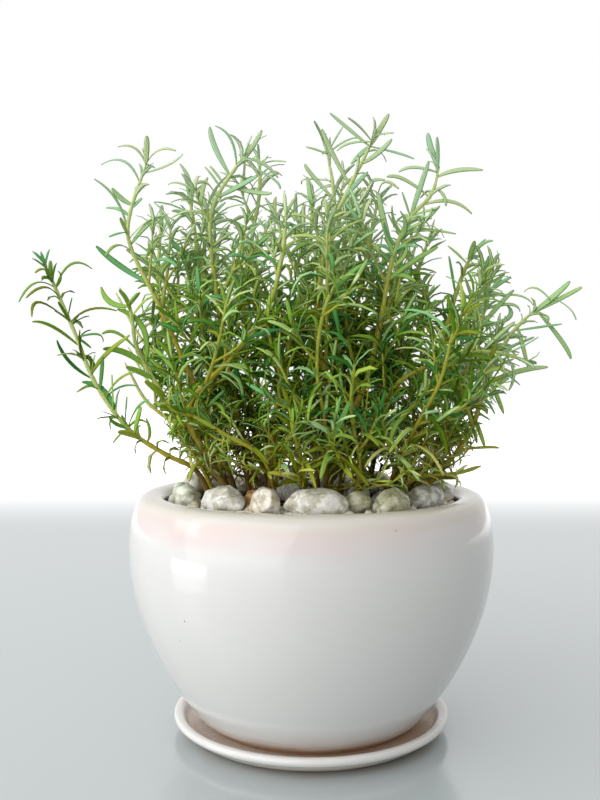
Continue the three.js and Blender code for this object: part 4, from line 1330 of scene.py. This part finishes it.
def placed_leaves(spray, chance, stem):
    """Grows a stem's placed leaves, and gives the height that they start at."""
    lowest = math.inf
    line, rows = stem["line"], PLACED_LEAVES.get(stem["name"], [])
    seen = np.array([to_pixel(stop) for stop in line.stops])
    for face, *pixels in rows:
        face = face if stem["name"] in HAND_PLACED else min(1, face + MORE_FACE)
        foot, *middle, end = np.array(pixels).reshape(-1, 2)
        root = line.stops[np.linalg.norm(seen - foot, axis=1).argmin()]
        flat = np.linalg.norm(at_pixel(end, root[1]) - root)
        reach = math.sqrt(max(LEAST_REACH**2, FULL_REACH**2 - flat**2))
        lean = chance.uniform(*LEANS) * reach
        tip = under_top(end, root[1] + lean)
        if middle:
            half_way = under_top(middle[0], root[1] + lean * LEAN_HALF_WAY)
        else:
            half_way = (root + tip) / 2 + UP * np.linalg.norm(tip - root) * ARCHED
        way = unit(tip - root)
        flat_on = unit(np.cross(way, [0, 1, 0]))
        edge_on = np.cross(flat_on, way)
        if np.cross(way, edge_on)[2] < 0:
            edge_on = -edge_on
        side = flat_on * face + edge_on * math.sqrt(1 - face**2)
        width = PLACED_WIDTH * chance.uniform(*PLACED_SPREAD)
        width *= EDGE_ON_WIDTH + (1 - EDGE_ON_WIDTH) * face
        step, tone = divmod(chance.random() * int(TONE_STEPS), 1)
        tint = (step + TONE_FROM + tone * TONE_REACH) / TONE_STEPS
        knee = 2 * half_way - (root + tip) / 2
        spray.leaf(root, knee, tip, side, width, 1 - raised_share(root[2]), tint, FINE)
        lowest = min(lowest, root[2])
    return lowest - FREE_ABOVE if len(rows) > FEW_PLACED else math.inf


# How a stem differs from the usual: its leaves' length and its own width as shares, and the
# millimetres up it from twig to twig.
SHORT_LEAVED = {
    "creeping": 0.5, "low_right": 0.6, "front_left": 0.85, "far_left": 0.6, "far_right": 0.65,
    "tall_left": 0.8, "mid_right": 0.75, "right_inner": 0.8, "back_far_left": 0.8,
}
SLIM_STEMS = {
    "far_left": 0.7, "far_right": 0.75, "left_slim": 0.8, "left_low": 0.8, "front_left": 0.62,
    "front_mid": 0.66, "front_tuft": 0.7, "front_right": 0.62, "front_centre": 0.66,
    "right_arm": 0.8, "creeping": 0.75, "crown_right": 0.85, "crown_left": 0.85,
    "tall_left": 0.85, "centre_back": 0.85, "centre_tall": 0.9,
}
TWIG_GAP = 20
TWIG_GAPS = {
    "left_slim": 46, "left_low": 46, "tall_left": 40, "creeping": 24, "left_inner": 46,
    "back_far_left": 60, "back_left": 36, "crown_left": 28, "right_inner": 44,
    "back_far_right": 34, "mid_right": 44, "crown_mid": 13, "crown_back": 14, "back_right": 13,
    "right_fork": 14,
}
TWIGS_FROM, TWIGS_TO, TWIG_GAP_SPREAD = 0.24, 0.86, (0.8, 1.25)  # shares of a stem's length
TWIG_SHARES, TWIG_LENGTHS = (0.32, 0.55), (20, 52)  # shares of the stem above it, and mm
TWIG_LEAN = 0.46
SIDE_TWIG_AT, SIDE_TWIG_LEAN, SIDE_TWIG_VIGOUR = (0.3, 0.5), 0.45, 0.95
THICKET, THICKET_FROM, THICKET_UP = 8, 3, 34  # old twigs round a stem's foot, and mm up it
THICKET_LENGTHS, THICKET_LEANS, THICKET_VIGOUR = (20, 40), (0.2, 0.75), (0.45, 0.7)
THICKET_SLIM, THICKET_TURN = 0.62, 1.7
LAST_LEAVES_FROM = {"far_right": 0.86}  # where a stem ends in long leaves that go on its way
BARE_FOOT = "far_left"  # a dark woody foot, with no twigs round it
YOUNG_STEMS = ("far_right", "left_slim", "left_low")  # green nearly down to the soil
# The bark's age from a stem's root to its tip, where 0 is green and 1 is wood.
GROWN_BARK, YOUNG_BARK, SIDE_BARK = (1.1, 0), (0.9, 0.35, 0.15, 0), (0.5, 0)
BARE_FOOT_BARK = (1.45, 1.25, 0.75, 0.45, 0.3, 0.2, 0.12, 0.06, 0)
ROOT_FLARE = 1.12  # a stem's foot is this much wider than usual, however slim it is above


def twigs_up(spray, chance, s, line, vigour):
    """Twigs all the way up a stem, shorter towards its tip."""
    share, n = TWIGS_FROM, 0
    shortest, longest = TWIG_LENGTHS
    gap = TWIG_GAPS.get(stems[s]["name"], TWIG_GAP) / line.length
    while share < TWIGS_TO:
        reach = (1 - share) * line.length * chance.uniform(*TWIG_SHARES)
        reach = min(longest, max(shortest, reach))
        twig(spray, chance, line, share, GOLDEN_TURN * n + s, reach, TWIG_LEAN, vigour)
        share += gap * chance.uniform(*TWIG_GAP_SPREAD)
        n += 1


def thicket(spray, chance, s, line):
    """Thin old twigs round a stem's foot, wherever that is in the photograph's foliage."""
    for n in range(THICKET):
        share = (THICKET_FROM + THICKET_UP * n / THICKET) / line.length
        if in_view(line.at(share)):
            reach, lean = chance.uniform(*THICKET_LENGTHS), chance.uniform(*THICKET_LEANS)
            vigour, turn = chance.uniform(*THICKET_VIGOUR), GOLDEN_TURN * n + s * THICKET_TURN
            twig(spray, chance, line, share, turn, reach, lean, vigour, THICKET_SLIM, OLD_AGES)


plant_finishes = [bark_finish(), leaf_finish()]
for s, stem in enumerate(stems):
    chance = np.random.default_rng([SEED, s])
    name, line = stem["name"], stem["line"]
    spray = Spray(name not in HAND_PLACED)
    vigour, slim = SHORT_LEAVED.get(name, 1), SLIM_STEMS.get(name, 1)
    if name in LAST_LEAVES_FROM:
        line = Line(line.stops[:round(len(line.stops) * LAST_LEAVES_FROM[name])])
    bare, facing = stem["bare"] * 0.6, between(0, math.pi, s, 0)
    sideways_from = placed_leaves(spray, chance, stem)
    knots = dress(spray, chance, line, bare, facing, vigour, 1, sideways_from)
    radii = STEM_R * stem["thick"] * slim, TIP_R * slim**0.5
    rooted = Line(np.vstack([line.stops[0] - ROOTED * UP, line.stops]))
    ages = YOUNG_BARK if name in YOUNG_STEMS else GROWN_BARK
    ages = BARE_FOOT_BARK if name == BARE_FOOT else ages
    spray.bark(rooted, radii, ages, STEM_SIDES, knots, stem["forks"], ROOT_FLARE / slim)
    for k, side in enumerate(stem["sides"], 1):
        knots = dress(spray, chance, side, TWIG_BARE, between(0, math.pi, s, k))
        spray.bark(side, (SHOOT_R, SHOOT_TIP_R), SIDE_BARK, SHOOT_SIDES, knots)
        share, turn = chance.uniform(*SIDE_TWIG_AT), chance.uniform(0, 2 * math.pi)
        reach = side.length * 0.5
        twig(spray, chance, side, share, turn, reach, SIDE_TWIG_LEAN, SIDE_TWIG_VIGOUR)
    if name not in HAND_PLACED:
        twigs_up(spray, chance, s, line, vigour)
    spray.outlined = True
    if name != BARE_FOOT:
        thicket(spray, chance, s, line)
    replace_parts(spray.piece("leafy_" + name, plant_finishes), "stem_" + name)

# The light and the floor. A smooth pale grey floor fades to the white room behind the
# plant. A window's light comes from the left, and the room is darkest at the right.
FLOOR_SIZE = 4000
FLOOR_GREY = (0.43, 0.475, 0.48)
FLOOR_SINK = 0.2  # mm under the saucer, so that the faces don't touch
FADE = (550, 1200)  # a span behind the pot
WHITE = 1.0


def floor_finish():
    finish = Finish("floor_paint", {"Roughness": 0.16, "IOR": 2.3, "Emission Strength": 1})
    faded = finish.rise(finish.part(finish.place(), "Y"), FADE)
    return finish.done({
        "Base Color": finish.mix(faded, FLOOR_GREY, (0, 0, 0)),
        "Emission Color": finish.mix(faded, (0, 0, 0), (WHITE, WHITE, WHITE)),
    })


corners = np.array([(-1, -1, 0), (1, -1, 0), (1, 1, 0), (-1, 1, 0)]) * FLOOR_SIZE
mesh_from("floor", corners - FLOOR_SINK * UP, [(0, 1, 2, 3)], [floor_finish()])

# Each window's place, the point that it lights and its width and height in mm, and its watts.
WINDOWS = {
    "room_window": ((-780, -720, 560), (0, 0, 130), (1500, 1400), 8.5),
    "side_window": ((-1090, -140, 480), (-53, -68, 111), (400, 220), 0.5),
    "side_window_mirrored": ((-420, -146, 28), (-53, -73, 93), (185, 52), 0.12),
}
for name, (place, aim, (width, height), watts) in WINDOWS.items():
    lamp = bpy.data.lights.new(name, "AREA")
    lamp.shape = "RECTANGLE"
    lamp.size, lamp.size_y = width * MM, height * MM
    lamp.energy = watts
    box = added(name, lamp)
    box.location = np.array(place) * MM
    box.rotation_euler = Vector(np.subtract(aim, place)).to_track_quat("-Z", "Y").to_euler()

BRIGHT_SIDE = (-0.75, 0.35, 0.25)  # the way to the brightest part of the room
DARK_AT, BRIGHT_AT, ROOM_DARK = -0.8, 0.05, 0.32
room = Finish("room_light", {"Color": (1, 1, 1, 1)}, bpy.data.worlds, "Background")
sky = room.node("ShaderNodeTexCoord", {}, {}, "Generated")
toward = room.node(
    "ShaderNodeVectorMath", {"operation": "DOT_PRODUCT"}, {0: sky, 1: BRIGHT_SIDE}, "Value"
)
brightness = room.node(
    "ShaderNodeMapRange", {"interpolation_type": "SMOOTHSTEP"},
    {0: toward, 1: DARK_AT, 2: BRIGHT_AT, 3: ROOM_DARK, 4: WHITE},
)
bpy.context.scene.world = room.done({"Strength": brightness})
bpy.context.scene.view_settings.view_transform = "Standard"
